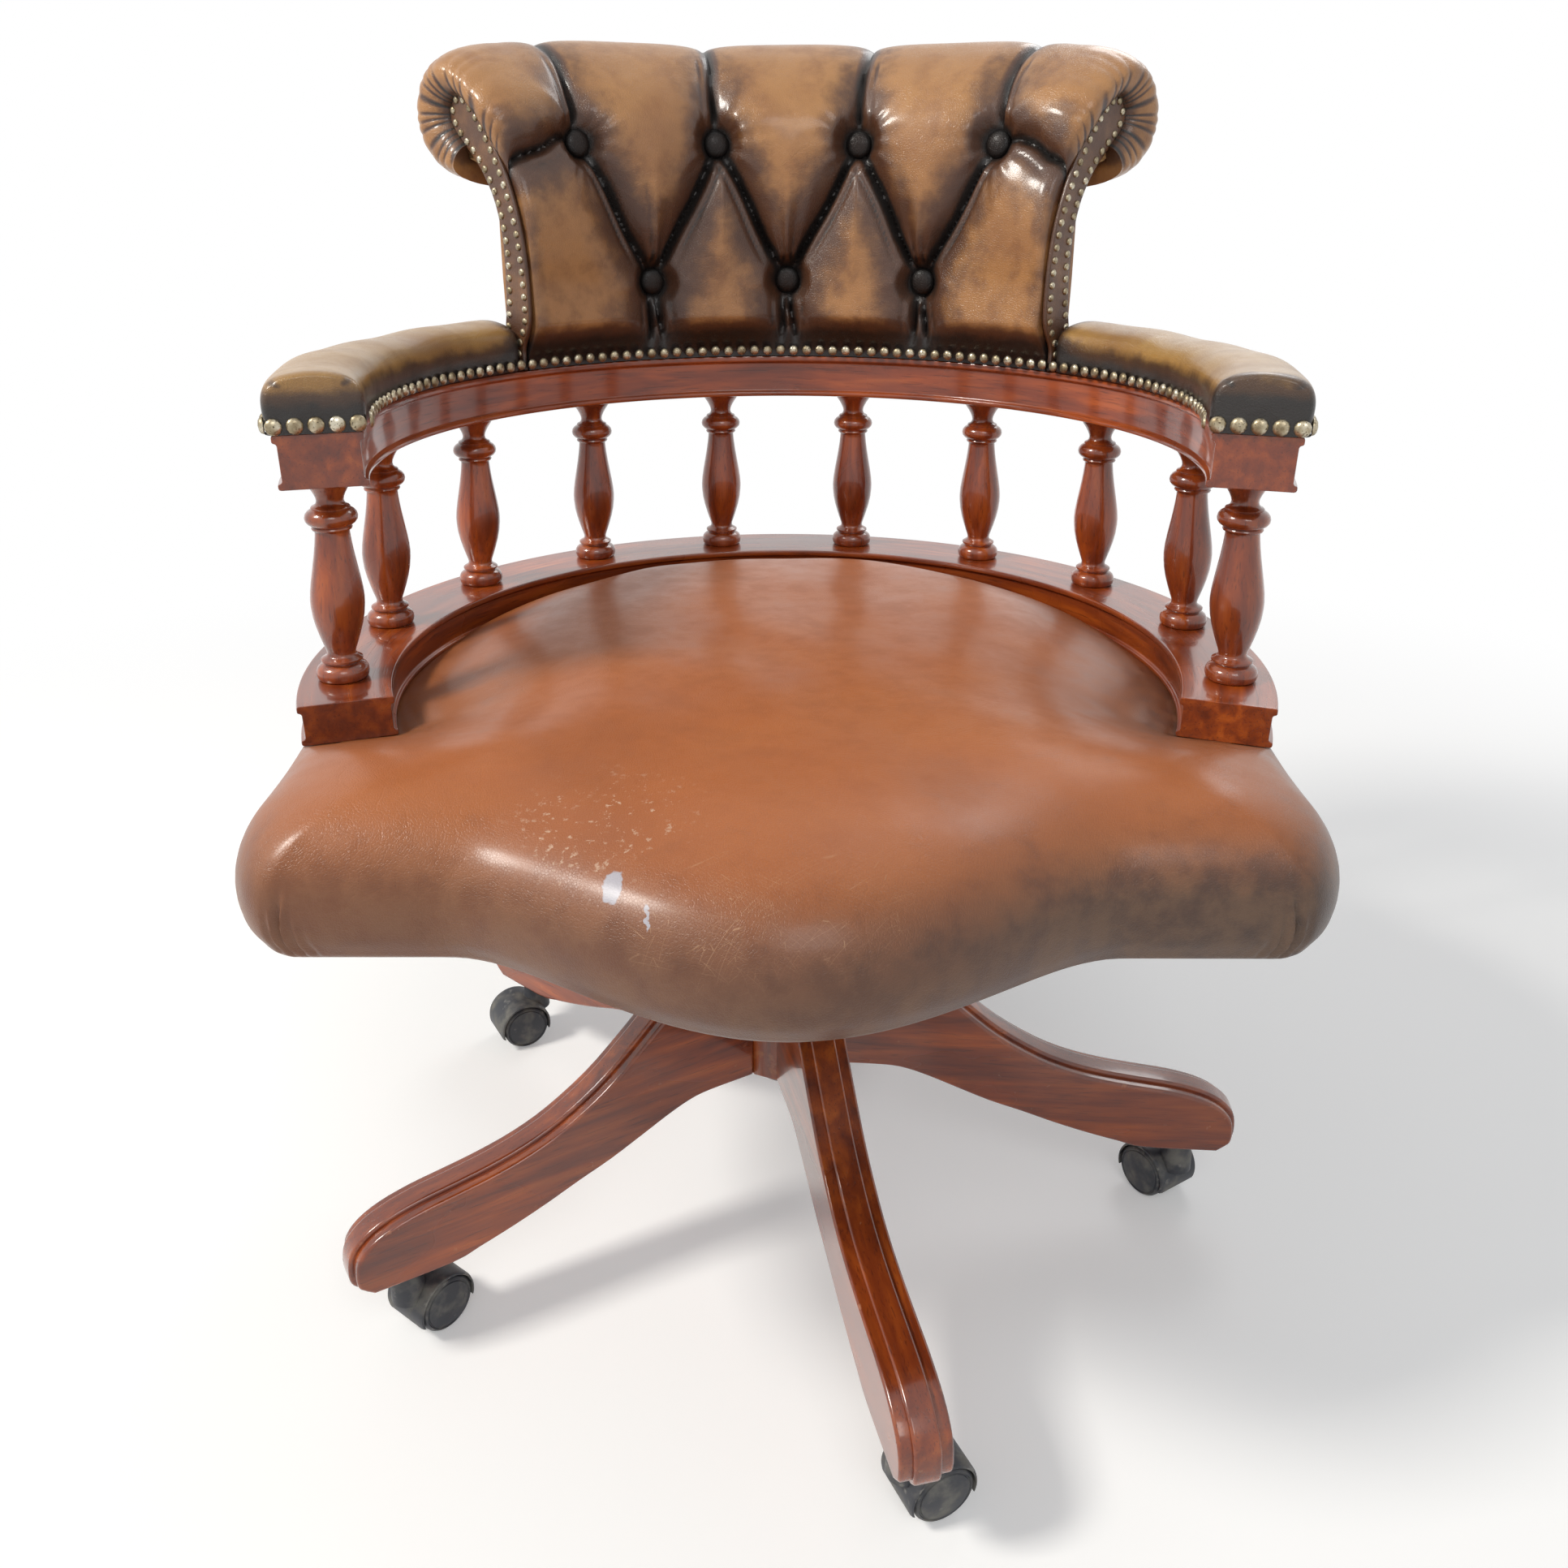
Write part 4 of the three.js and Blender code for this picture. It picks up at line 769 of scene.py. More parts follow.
bore(plate, PIVOT, PIN_BORE, 90, "X")
slot_outline = both_ends([(-3, 7), (-2, 9), (2, 9), (3, 7)])
for x, y in ((-76, -104), (76, -104), (-76, 58), (76, 58)):
    cut = saw_board("slot", [spot(x + u, y + v, plate_foot - 5) for u, v in slot_outline], (0, 0, 20))
    join_cut(plate, cut, "DIFFERENCE")
ease_edges(plate, 0.4, segments=2, angle=50)
hand_over(smooth_faces(plate, 30), "seat", "black_steel", enamel, "seat_plate")

pin_side = both_ends([(0, 35.6), (4.4, 35.6), (5, 35)])
pivot_pin = smooth_faces(turned_piece("pivot_pin_dressed", pin_side, PIVOT, ALONG_X, steps=28))
hand_over(pivot_pin, "seat", "bright_steel", steel, "pivot_pin")


# ---- Seat board and dust cover
# Plywood cut to the seat's plan, and under it the black cloth that is stapled round its edge,
# open where the steel plate is screwed on.
board_foot, board_top = heights_of("seat_board")
RING_BACK = 310
RING_SIDE_TURN = math.radians(94)
FRONT_CORNER = (264, -239)


def bezier(start, first, second, end, count):
    """Points along a cubic curve, without its start."""
    t = np.arange(1, count + 1)[:, None] / count
    s = 1 - t
    sums = ((s**3, start), (3 * s * s * t, first), (3 * s * t * t, second), (t**3, end))
    return sum(share * np.array(point) for share, point in sums)


def run_of(line):
    """How far along a line each of its points lies."""
    return np.concatenate([[0], np.cumsum(np.linalg.norm(np.diff(line, axis=0), axis=1))])


def seat_line(count):
    """The seat's plan about the column, from the back round by +X in equal steps."""
    line = [
        (RING_BACK * math.sin(turn), RING_BEHIND + RING_BACK * math.cos(turn))
        for turn in np.linspace(0, RING_SIDE_TURN, 60)
    ]
    side_x, side_y = line[-1]
    side_run = (side_y + 180) / 2
    side_pull = (side_x, side_y - side_run / 2)
    line.extend(bezier(line[-1], side_pull, (297, -180 + side_run), (297, -180), 30))
    line.extend(bezier(line[-1], (297, -209.5), (278.75, -239), FRONT_CORNER, 24))
    line.extend((264 - 82 * t, -239) for t in np.linspace(0, 1, 12)[1:])
    line.extend(bezier(line[-1], (182 * 0.74, -239), (182 * 0.42, -316), (0, -316), 40))
    half = np.array(line)
    run = run_of(half)
    stops = np.linspace(0, run[-1], count // 2 + 1)
    even = np.stack([np.interp(stops, run, half[:, 0]), np.interp(stops, run, half[:, 1])], axis=1)
    return np.concatenate([even, even[1:-1][::-1] * (-1, 1)])


def drawn_in(line, amount):
    """A plan line drawn towards the column by an amount."""
    return line * (1 - amount / np.linalg.norm(line, axis=1, keepdims=True))


ply = new_material("edge_plywood", Roughness=0.62)
place = ply.where()
plies = ply.bands(place, "Z", 130.0, Distortion=0.6)
fibre = ply.noise(ply.stretch(place, (12, 300, 300)), 1.0, 5.0)
layered = ply.mix(plies, (196, 160, 112), (150, 108, 66))
ply.dress(Base_Color=ply.mix(ply.span(fibre, 0.35, 0.7), layered, (172, 132, 86)))
ply.bump(fibre, 0.0002, 0.5)

board_outline = [spot(x, y, board_foot) for x, y in drawn_in(seat_line(88), 16)]
board = saw_board("seat_board_dressed", board_outline, (0, 0, board_top - board_foot))
ease_edges(board, 1, segments=2)
hand_over(smooth_faces(board), "seat", "plywood", ply, "seat_board")

cloth = new_material("black_cambric", Roughness=0.95, Sheen_Weight=0.25, Sheen_Roughness=0.5)
place = cloth.where()
weave = cloth.times(*(cloth.bands(place, way, 420.0, Distortion=0.4) for way in ("X", "Y")))
cloth.dress(Base_Color=cloth.mix(weave, (14, 14, 15), (44, 43, 42)))
cloth.bump(weave, 0.0002, 0.6)

cover_foot, cover_top = heights_of("dust_cover")
cover_outline = [spot(x, y, cover_foot) for x, y in drawn_in(seat_line(88), 26)]
cover = saw_board("dust_cover_dressed", cover_outline, (0, 0, cover_top - cover_foot))
join_cut(cover, block(spot(0, -22.5, cover_foot), (181.2, 196.2, 20)), "DIFFERENCE")
hand_over(smooth_faces(cover), "seat", "black_cloth", cloth, "dust_cover")


# ---- Seat cushion
# Tan leather stretched over a foam block, rolled over the front edge, pleated at the two front
# corners and held down under the lower rail. Its dome is scuffed, spotted and greyed by use, and
# the front roll is painted darker towards its foot as shade.
lower_foot, lower_top = heights_of("lower_rail")
SEAT_RISE = 93
PANEL_RISE = lower_foot - board_foot - 0.4
RAIL_INNER = 264
RAIL_OUTER = 323
RAIL_END = math.radians(110)
PUFF_END = math.radians(15)
HELD_EDGE = RAIL_INNER - 1.2
BACK_PUFF = 17
DOME_REACH = 200
DOME_FALL = 1.4
RECESS = 12.3

# Leather: fine pores and creases, a mottled dye and a polish that varies with handling.
hide, given, result = new_group("leather_skin", ["Pebble", "Mottle", "Cloud", "Crease"], Place=None)
place = given["Place"]


def warped(tree, place, scale, detail, reach):
    """A place shifted to and fro by noise."""
    shift = tree.vector("MULTIPLY", tree.noise(place, scale, detail, "Color"), (reach,) * 3)
    return tree.vector("ADD", place, shift)


pores = hide.span(hide.cells(place, 620.0), 0.0, 0.16)
hide.put(result["Pebble"], hide.plus(pores, hide.times(hide.noise(place, 900.0, 4.0), 0.35)))
hide.put(result["Mottle"], hide.noise(place, 46.0, 6.0, Roughness=0.6))
hide.put(result["Cloud"], hide.noise(place, 7.5, 4.0, Roughness=0.6))
cracks = hide.cells(warped(hide, place, 30.0, 2.0, 0.02), 62.0)
hide.put(result["Crease"], hide.span(cracks, 0.0, 0.05, 1.0, 0.0))
leather_skin = hide.tree


def spot_mask(tree, place, centre, reach, feather):
    """A soft round spot about a place on a piece; the reach is one radius per axis."""
    squeezed = tree.vector("DIVIDE", tree.vector("SUBTRACT", place, centre), reach)
    far = tree.vector("LENGTH", squeezed, output="Value")
    return tree.span(far, 1 - feather, 1 + feather, 1.0, 0.0)


def towards(low, high, value):
    """0 to 1 as a value goes from low to high, eased at both ends."""
    share = np.clip((value - low) / (high - low), 0, 1)
    return share * share * (3 - 2 * share)


def bell(value, width):
    """A smooth hump of a width: 1 where the value is 0."""
    return np.exp(-((value / width) ** 2))


def skin_over(name, grid, middles=(), shades=None, merge=MM / 500):
    """A tube of skin over a grid of places, tiers then round, closed about two middles."""
    tiers, count = grid.shape[:2]
    a = np.arange((tiers - 1) * count).reshape(-1, count)
    b = np.roll(a, -1, axis=1)
    faces = np.stack([a, b, b + count, a + count], axis=-1).reshape(-1, 4).tolist()
    if len(middles):
        top, middle = (tiers - 1) * count, tiers * count
        for k, following in zip(a[0].tolist(), b[0].tolist()):
            faces.append((following, k, middle))
            faces.append((top + k, top + following, middle + 1))
    data = bpy.data.meshes.new(name)
    data.from_pydata([tuple(place) for place in (*grid.reshape(-1, 3), *middles)], [], faces)
    piece = bpy.data.objects.new(name, data)
    bpy.context.collection.objects.link(piece)
    if shades is not None:
        lay_shade(piece, shades)
    take_up(piece)
    bpy.ops.object.mode_set(mode="EDIT")
    return close_skin(piece, merge)


def lay_shade(piece, values):
    """Stores how far each point is darkened by painted shade, polish and soiling, 0 to 1."""
    attribute = piece.data.attributes.new("shade", "FLOAT", "POINT")
    attribute.data.foreach_set("value", np.asarray(values, np.float32).ravel())


# The plan is drawn fine near the two corners and coarser elsewhere.
fine_line = seat_line(1800)
fine_run = np.arange(len(fine_line)) * np.linalg.norm(fine_line[1] - fine_line[0])
corners = [
    np.abs(fine_line - (side * FRONT_CORNER[0], FRONT_CORNER[1])).sum(axis=1).argmin()
    for side in (1, -1)
]
close_by = np.min([np.abs(fine_run - fine_run[corner]) for corner in corners], axis=0) < 24
kept = close_by | (np.arange(len(fine_line)) % 6 == 0)
cushion_line = fine_line[kept]


def rounded(plan, spread):
    """A plan line with its corners rounded off, for the tiers near the middle of the dome."""
    turn, radius = np.arctan2(plan[:, 1], plan[:, 0]), np.linalg.norm(plan, axis=1)
    order = np.argsort(turn)
    even = np.linspace(-math.pi, math.pi, 720, endpoint=False)
    wave = np.fft.fft(np.interp(even, turn[order], radius[order], period=math.tau))
    pitch_of = np.fft.fftfreq(len(even), 1 / len(even))
    smooth = np.fft.ifft(wave * np.exp(-0.5 * (pitch_of * spread) ** 2)).real
    held = np.interp(turn, even, smooth, period=math.tau)
    return plan * (held / radius)[:, None]


def held_down(points):
    """The heights of the dome, lowered to the rail's foot beside the rail, and under it."""
    from_ring = points[..., :2] - (0, RING_BEHIND)
    radius = np.linalg.norm(from_ring, axis=-1)
    turn = np.abs(np.arctan2(from_ring[..., 0], from_ring[..., 1]))
    end_x = np.sin(RAIL_END) * np.sign(from_ring[..., 0] + 1e-9)
    end = np.stack([end_x, np.full(radius.shape, np.cos(RAIL_END))], axis=-1)
    along = np.clip((from_ring * end).sum(-1), HELD_EDGE, RAIL_OUTER)
    to_end = np.linalg.norm(from_ring - end * along[..., None], axis=-1)
    gap = np.where(turn < RAIL_END, np.maximum(HELD_EDGE - radius, 0), to_end)
    puff = BACK_PUFF * (1 - towards(PUFF_END, RAIL_END, turn)) * np.clip(gap / 3, 0, 1)
    dome = 1 - (1 - np.clip(gap / DOME_REACH, 0, 1)) ** 2
    over = points[..., 2] - (PANEL_RISE + puff + (SEAT_RISE + 3 - PANEL_RISE) * dome)
    soft = 2.5
    eased = np.where(np.abs(over) < soft, (over + soft) ** 2 / (4 * soft), np.maximum(over, 0))
    lowered = points[..., 2] - eased
    covered = (turn < RAIL_END + 0.01) & (radius > HELD_EDGE)
    return np.where(covered, np.minimum(lowered, PANEL_RISE), lowered)


side_rows = [
    (15.7, RECESS), (15.7, 6), (15.7, 0.6), (15, 0.05), (13, 0), (9, 0), (5, 0.2), (2, 1.2),
    (-0.4, 3.2),
]
roll = [
    (-1.35, 4.65), (-7.2, 15.8), (-9, 30.7), (-6.3, 44.6), (0.9, 57.7), (12.6, 68.8), (30.6, 77.2),
    (61.2, 83.7), (108, 88.4), (180, 91.6),
]
tiers = []
for inward, rise in [*side_rows, *smooth_line(roll, steps=6)]:
    plan = rounded(drawn_in(cushion_line, inward), 0.25 * max(inward - 50, 0) / 130)
    tiers.append(np.column_stack([plan, np.full(len(plan), rise)]))
plan = tiers[-1][:, :2]
for share in np.linspace(0.9, 0.0, 15)[:-1]:
    rise = SEAT_RISE - DOME_FALL * share**2
    tiers.append(np.column_stack([plan * share, np.full(len(plan), rise)]))
points = np.stack(tiers)
points[..., 2] = held_down(points)
rise = points[..., 2]
away = points[..., :2] / np.linalg.norm(points[..., :2], axis=-1, keepdims=True)
# Pleats at the front corners (shift, depth, width, top), then the slow unevenness of old foam.
pleat_sizes = ((0, 4.2, 1.9, 46), (6.5, 2.2, 1.6, 34), (-6, 1.8, 1.7, 40), (13, 1.3, 1.8, 26))
for side, corner in zip((1, -1), corners):
    from_corner = (fine_run - fine_run[corner])[kept]
    for shift, depth, width, top in pleat_sizes:
        across = from_corner - shift * side - rise * 0.12 * side
        fold = 0.5 * bell(across - 2.2 * width * side, width) - bell(across, width)
        fade = np.clip((rise - 1) / 6, 0, 1) * np.clip((top - rise) / 22, 0, 1)
        points[..., :2] += away * (depth * fold * fade)[..., None]
    shoulder = np.clip((rise - 50) / 14, 0, 1) * np.clip((80 - rise) / 14, 0, 1)
    points[..., 2] -= 1.6 * bell(from_corner, 26) * shoulder
x, y = points[..., 0] * MM, points[..., 1] * MM
wave = np.sin(x * 31 + 1.3 * np.sin(y * 23)) * np.sin(y * 27 + 0.7) + 0.6 * np.sin(x * 67 + y * 41)
points[..., 2] += 0.7 * wave * np.clip((rise - 60) / 25, 0, 1)
cushion_place = np.array(spot(0, 0, board_foot))
middles = np.array([(0, 0, RECESS), (0, 0, SEAT_RISE)]) * MM + cushion_place
grid = points[:, ::-1] * MM + cushion_place
cushion = skin_over("seat_cushion_dressed", grid, middles, merge=MM / 200)
smooth_faces(cushion, 60)

tan = new_material("seat_leather", Coat_Weight=0.3, Coat_Roughness=0.24, Specular_IOR_Level=0.45)
place = tan.where()
skin = tan.group(leather_skin, Place=place)
mottle, cloud = skin["Mottle"], skin["Cloud"]
height = tan.add("SeparateXYZ", {"Vector": place}).outputs
dye = tan.ramp(
    cloud, (0.30, (164, 88, 34)), (0.48, (178, 97, 37)), (0.62, (184, 103, 42)), (0.78, (172, 97, 42))
)
dye = tan.mix(tan.span(mottle, 0.38, 0.72), dye, tan.mix(0.35, dye, (138, 78, 44)))
# The front roll is browned and greyed towards its foot, most on the right: worn grey, and painted
# shade under the roll and on the side away from the key light.
uneven = tan.plus(height["Z"], tan.times(mottle, 0.03))
low_front_wear_and_shade = tan.times(
    tan.span(uneven, 0.404, 0.462, 1.0, 0.0), tan.span(height["X"], -0.30, 0.30, 0.72, 1.0)
)
greyed = tan.mix(tan.span(mottle, 0.35, 0.65), (66, 42, 28), (96, 70, 50))
dye = tan.mix(low_front_wear_and_shade, dye, greyed)
scuffed = spot_mask(tan, place, (0.02, -0.352, 0.40), (0.12, 0.035, 0.02), 0.7)
scuffed = tan.times(scuffed, tan.span(mottle, 0.40, 0.58), 0.5)
dye = tan.mix(scuffed, dye, (104, 60, 36))
# Pale spots, a torn patch and fine scratches on the left of the front roll.
smeared = tan.span(tan.noise(place, 210.0, 5.0, Roughness=0.7), 0.565, 0.65)
spotted = spot_mask(tan, place, (-0.103, -0.268, 0.43), (0.042, 0.042, 0.03), 0.6)
spotted = tan.times(smeared, spotted, tan.span(mottle, 0.42, 0.54), 0.75)
dye = tan.mix(spotted, dye, (214, 184, 158))
ragged = warped(tan, place, 260.0, 3.0, 0.006)
torn = tan.most(
    spot_mask(tan, ragged, (-0.0913, -0.3118, 0.4194), (0.0052, 0.0085, 0.009), 0.12),
    spot_mask(tan, ragged, (-0.0733, -0.3293, 0.4128), (0.0011, 0.006, 0.007), 0.2),
)
dye = tan.mix(torn, dye, (180, 176, 184))
scratch_lines = []
for turn, scale, shift in ((0.45, 46.0, 0.0), (-0.6, 38.0, 3.0)):
    turned = tan.stretch(place, (1, 1, 1), Rotation=(0, 0, turn), Location=(shift, 0, 0))
    lines = tan.cells(tan.stretch(turned, (0.35, 9, 1)), scale)
    scratch_lines.append(tan.span(lines, 0.0, 0.012, 1.0, 0.0))
scratched = spot_mask(tan, place, (-0.03, -0.335, 0.415), (0.075, 0.04, 0.03), 0.5)
scratched = tan.times(tan.most(*scratch_lines), scratched, tan.span(mottle, 0.42, 0.6), 0.4)
dye = tan.mix(scratched, dye, (206, 166, 128))
rough = tan.plus(0.36, tan.times(tan.span(mottle, 0.3, 0.7), 0.14))
tan.dress(Base_Color=dye, Roughness=tan.plus(rough, tan.times(torn, 0.4)))
creased = tan.times(skin["Crease"], tan.span(cloud, 0.45, 0.6), 0.8)
tan.bump(tan.minus(skin["Pebble"], creased), 0.00022, 0.45)
hand_over(cushion, "seat", "seat_leather", tan, "seat_cushion")


# ---- Rails of the ring
# Two horseshoes of moulded mahogany: an eased lip stands out along the top and bottom of both
# faces, and the ends are sawn square. The lower one is screwed down through the seat.
rail_wood = mahogany_material("mahogany_ring", wear_reach=0.62)
foot_lip = [(1.6, 0), (0.5, 0.4), (0, 1.4), (0, 3.0), (0.5, 3.7), (1.5, 4.0), (2.2, 4.6), (2.6, 5.4)]
top_lip = [(2.6, 6.4), (2.2, 5.4), (1.4, 4.9), (0.5, 4.6), (0, 3.8), (0, 1.4), (0.5, 0.4), (1.6, 0)]


def ring_place(turn, radius, height):
    """Places on the ring, by the angle from the back, the radius and the height."""
    turn, radius, height = np.broadcast_arrays(turn, radius, height)
    round_ring = np.stack([np.sin(turn) * radius, np.cos(turn) * radius, height], axis=-1)
    return round_ring * MM + np.array(ring)


def fill_ends(piece, merge=MM / 100):
    """Closes the open ends of a skin that is being edited."""
    bpy.ops.mesh.select_all(action="SELECT")
    bpy.ops.mesh.fill_holes(sides=0)
    return close_skin(piece, merge)


def swept(name, section, half_turn, steps):
    """A closed section of (radius, height) spun round the ring and filled at both ends."""
    piece = draw_line(name, [ring_place(-half_turn, *point) for point in section], closed=True)
    bpy.ops.mesh.spin(steps=steps, angle=2 * half_turn, center=ring, axis=(0, 0, 1))
    bpy.ops.mesh.select_all(action="SELECT")
    bpy.ops.mesh.remove_doubles(threshold=MM / 100)
    return fill_ends(piece)


for node, inner, outer, end_turn in (
    ("lower_rail", RAIL_INNER, RAIL_OUTER, RAIL_END),
    ("upper_rail", 262, 314, math.radians(108)),
):
    foot, top = heights_of(node)
    face = [(inset, foot + rise) for inset, rise in foot_lip]
    face += [(inset, top - drop) for inset, drop in top_lip]
    section = [(outer - inset, height) for inset, height in face]
    section += [(inner + inset, height) for inset, height in face[::-1]]
    rail = swept(f"{node}_dressed", section, end_turn, 144)
    ease_edges(rail, 0.7, segments=2, angle=60)
    smooth_faces(rail, 40)
    lay_grain(rail, "ring", place=ring)
    hand_over(rail, "seat", "mahogany", rail_wood, node)


# ---- Spindles
# Ten mahogany spindles turned alike on a lathe: foot bead and ring, vase, ringed bead, neck and
# cup. They lean outwards at the foot, and their tenons are glued into both rails.
SPINDLE_RADIUS = 16.8
SPINDLE_RISE = 130
SPINDLE_PITCH = math.radians(22.4)
SPINDLE_COUNT = 10
BASE_CIRCLE = 295.5
TOP_CIRCLE = 288
spindle_shares = [
    (0.90, 0.0), (0.965, 0.010), (0.995, 0.028), (0.99, 0.046), (0.93, 0.062), (0.83, 0.073),
    (0.74, 0.079), (0.70, 0.084), (0.745, 0.089), (0.79, 0.095), (0.785, 0.103), (0.71, 0.110),
    (0.61, 0.116), (0.555, 0.124), (0.54, 0.136), (0.565, 0.150), (0.64, 0.177), (0.755, 0.222),
    (0.87, 0.273), (0.955, 0.325), (0.995, 0.375), (1.0, 0.410), (0.97, 0.455), (0.90, 0.512),
    (0.815, 0.572), (0.735, 0.630), (0.675, 0.682), (0.64, 0.722), (0.63, 0.742), (0.65, 0.748),
    (0.72, 0.752), (0.745, 0.759), (0.72, 0.766), (0.70, 0.769), (0.76, 0.773), (0.87, 0.783),
    (0.945, 0.796), (0.965, 0.811), (0.935, 0.827), (0.85, 0.841), (0.74, 0.850), (0.70, 0.853),
    (0.715, 0.858), (0.68, 0.864), (0.58, 0.869), (0.515, 0.879), (0.495, 0.892), (0.52, 0.908),
    (0.59, 0.928), (0.69, 0.950), (0.80, 0.970), (0.86, 0.984), (0.875, 0.994), (0.87, 1.0),
]
tenon = [(0, 11.8), (6.2, 11.8), (7, 11), (7, 0)]
spindle_side = [(radius, -rise) for radius, rise in tenon]
spindle_side += [(radius * SPINDLE_RADIUS, rise * SPINDLE_RISE) for radius, rise in spindle_shares]
spindle_side += [(radius, SPINDLE_RISE + rise) for radius, rise in tenon[::-1]]
spindle_blank = smooth_faces(turned_piece("spindle_blank", spindle_side, steps=40), 42)
lay_grain(spindle_blank, "Z")
lean = Matrix.Identity(4)
lean[1][2] = (TOP_CIRCLE - BASE_CIRCLE) / SPINDLE_RISE
spindle_wood = mahogany_material("mahogany_spindles", wear_reach=0.64)
for k in range(SPINDLE_COUNT):
    turn = (k - (SPINDLE_COUNT - 1) / 2) * SPINDLE_PITCH
    stand = (
        Matrix.Translation(spot(0, 0, lower_top + 0.3, ring))
        @ Matrix.Rotation(-turn, 4, "Z")
        @ Matrix.Translation((0, BASE_CIRCLE * MM, 0))
        @ lean
        @ Matrix.Rotation(2.399 * k, 4, "Z")
    )
    spindle = copy_of(spindle_blank, f"spindle_{k + 1}_dressed", stand)
    grain = spindle.data.attributes["grain"].data
    own = np.empty(len(grain) * 3, np.float32)
    grain.foreach_get("vector", own)
    grain.foreach_set("vector", own + 0.37 * (k + 1))
    hand_over(spindle, "seat", "mahogany", spindle_wood, f"spindle_{k + 1}")
bpy.data.objects.remove(spindle_blank)


# ---- Arm pads
# Olive-gold antiqued leather over foam on the ends of the upper rail, crowned across and boxed
# at the front end, where the leather is folded down at both corners and tacked.
PAD_INNER = 260
PAD_OUTER = 316
PAD_RISE = 35
PAD_FRONT = math.radians(108.4)
PAD_REAR = math.radians(50.0)
ROUND_FRONT = 6.5
ROUND_REAR = 9
pad_foot = heights_of("arm_pad_right")[0]
pad_radius = (PAD_INNER + PAD_OUTER) / 2
pad_length = (PAD_FRONT - PAD_REAR) * pad_radius
pad_outline = [
    (0.02, 0.0), (0.5, -0.004), (0.98, 0.0), (1.0, 0.05), (1.012, 0.25), (1.015, 0.5), (0.99, 0.69),
    (0.93, 0.83), (0.82, 0.925), (0.67, 0.98), (0.5, 1.0), (0.33, 0.98), (0.18, 0.925), (0.07, 0.83),
    (0.01, 0.69), (-0.015, 0.5), (-0.012, 0.25), (0.0, 0.05),
]


def antique_leather(name, bright, middling, dark, fold_patina_and_shade, polish=0.35, gleam=0.5):
    """Antiqued leather: a bright dye rubbed through darker ones, near black in the folds; the stored
    shade that darkens it is painted shade mixed with patina.
    """
    paint = new_material(name, Coat_Weight=polish, Coat_Roughness=0.16, Specular_IOR_Level=gleam)
    skin = paint.group(leather_skin, Place=paint.where())
    mottle, cloud = skin["Mottle"], skin["Cloud"]
    shade = paint.stored("shade", "Fac")
    between = tuple(a + (b - a) * 0.4 for a, b in zip(srgb(*bright), srgb(*middling)))
    dye = paint.ramp(cloud, (0.30, middling), (0.50, bright), (0.70, between))
    dye = paint.mix(paint.times(paint.span(mottle, 0.42, 0.70), 0.55), dye, middling)
    broken = paint.plus(shade, paint.times(paint.minus(mottle, 0.5), 0.55))
    dye = paint.mix(paint.span(broken, 0.12, 0.52), dye, dark)
    dye = paint.mix(paint.span(broken, 0.48, 0.86), dye, fold_patina_and_shade)
    rough = paint.plus(0.30, paint.times(paint.span(mottle, 0.3, 0.7), 0.13))
    rough = paint.plus(rough, paint.times(paint.span(shade, 0.3, 0.9), 0.1))
    paint.dress(Base_Color=dye, Roughness=rough)
    creased = paint.times(skin["Crease"], paint.span(cloud, 0.42, 0.6), 0.7)
    paint.bump(paint.minus(skin["Pebble"], creased), 0.00022, 0.45)
    return paint


pad_leather = antique_leather(
    "pad_leather", (172, 132, 70), (142, 102, 54), (70, 46, 26), (22, 16, 12)
)
# Each step along the pad is (run, share of the full section); its two ends are rounded off.
quarter = np.linspace(0, math.pi / 2, 8)
steps = [(0.0, share) for share in (0.15, 0.4, 0.62)]
steps += [(ROUND_REAR * (1 - math.sin(q)), 1 - 0.24 * (1 - math.cos(q))) for q in quarter[::-1]]
steps += [(run, 1.0) for run in np.linspace(ROUND_REAR + 3, pad_length - ROUND_FRONT - 2, 64)]
steps += [
    (pad_length - ROUND_FRONT * (1 - math.sin(q)), 1 - 0.15 * (1 - math.cos(q))) for q in quarter
]
steps += [(pad_length, share) for share in (0.72, 0.55, 0.35, 0.15)]
runs, shares = np.array(steps).T[..., None]
pad_curve = smooth_line(pad_outline + pad_outline[:1], steps=4)[:-1]
curve_across, curve_up = pad_curve[:, 0], np.maximum(pad_curve[:, 1], 0)
across = 0.5 + (curve_across - 0.5) * shares
flat_foot = (curve_up < 0.06) & (shares >= 0.8)
up = np.where(flat_foot, curve_up, 0.46 + (curve_up - 0.46) * shares)
bulge = 1.4 * (1 - shares) * (shares < 0.8) * (runs > pad_length / 2)
turns = PAD_REAR + (runs + bulge) / pad_radius
sag = 0.02 * np.sin(runs * 0.038) + 0.012 * np.sin(runs * 0.091 + 1)
radius = PAD_INNER + across * (PAD_OUTER - PAD_INNER)
height = pad_foot + np.maximum(up, 0) * PAD_RISE * (1 + sag * (up > 0.6))
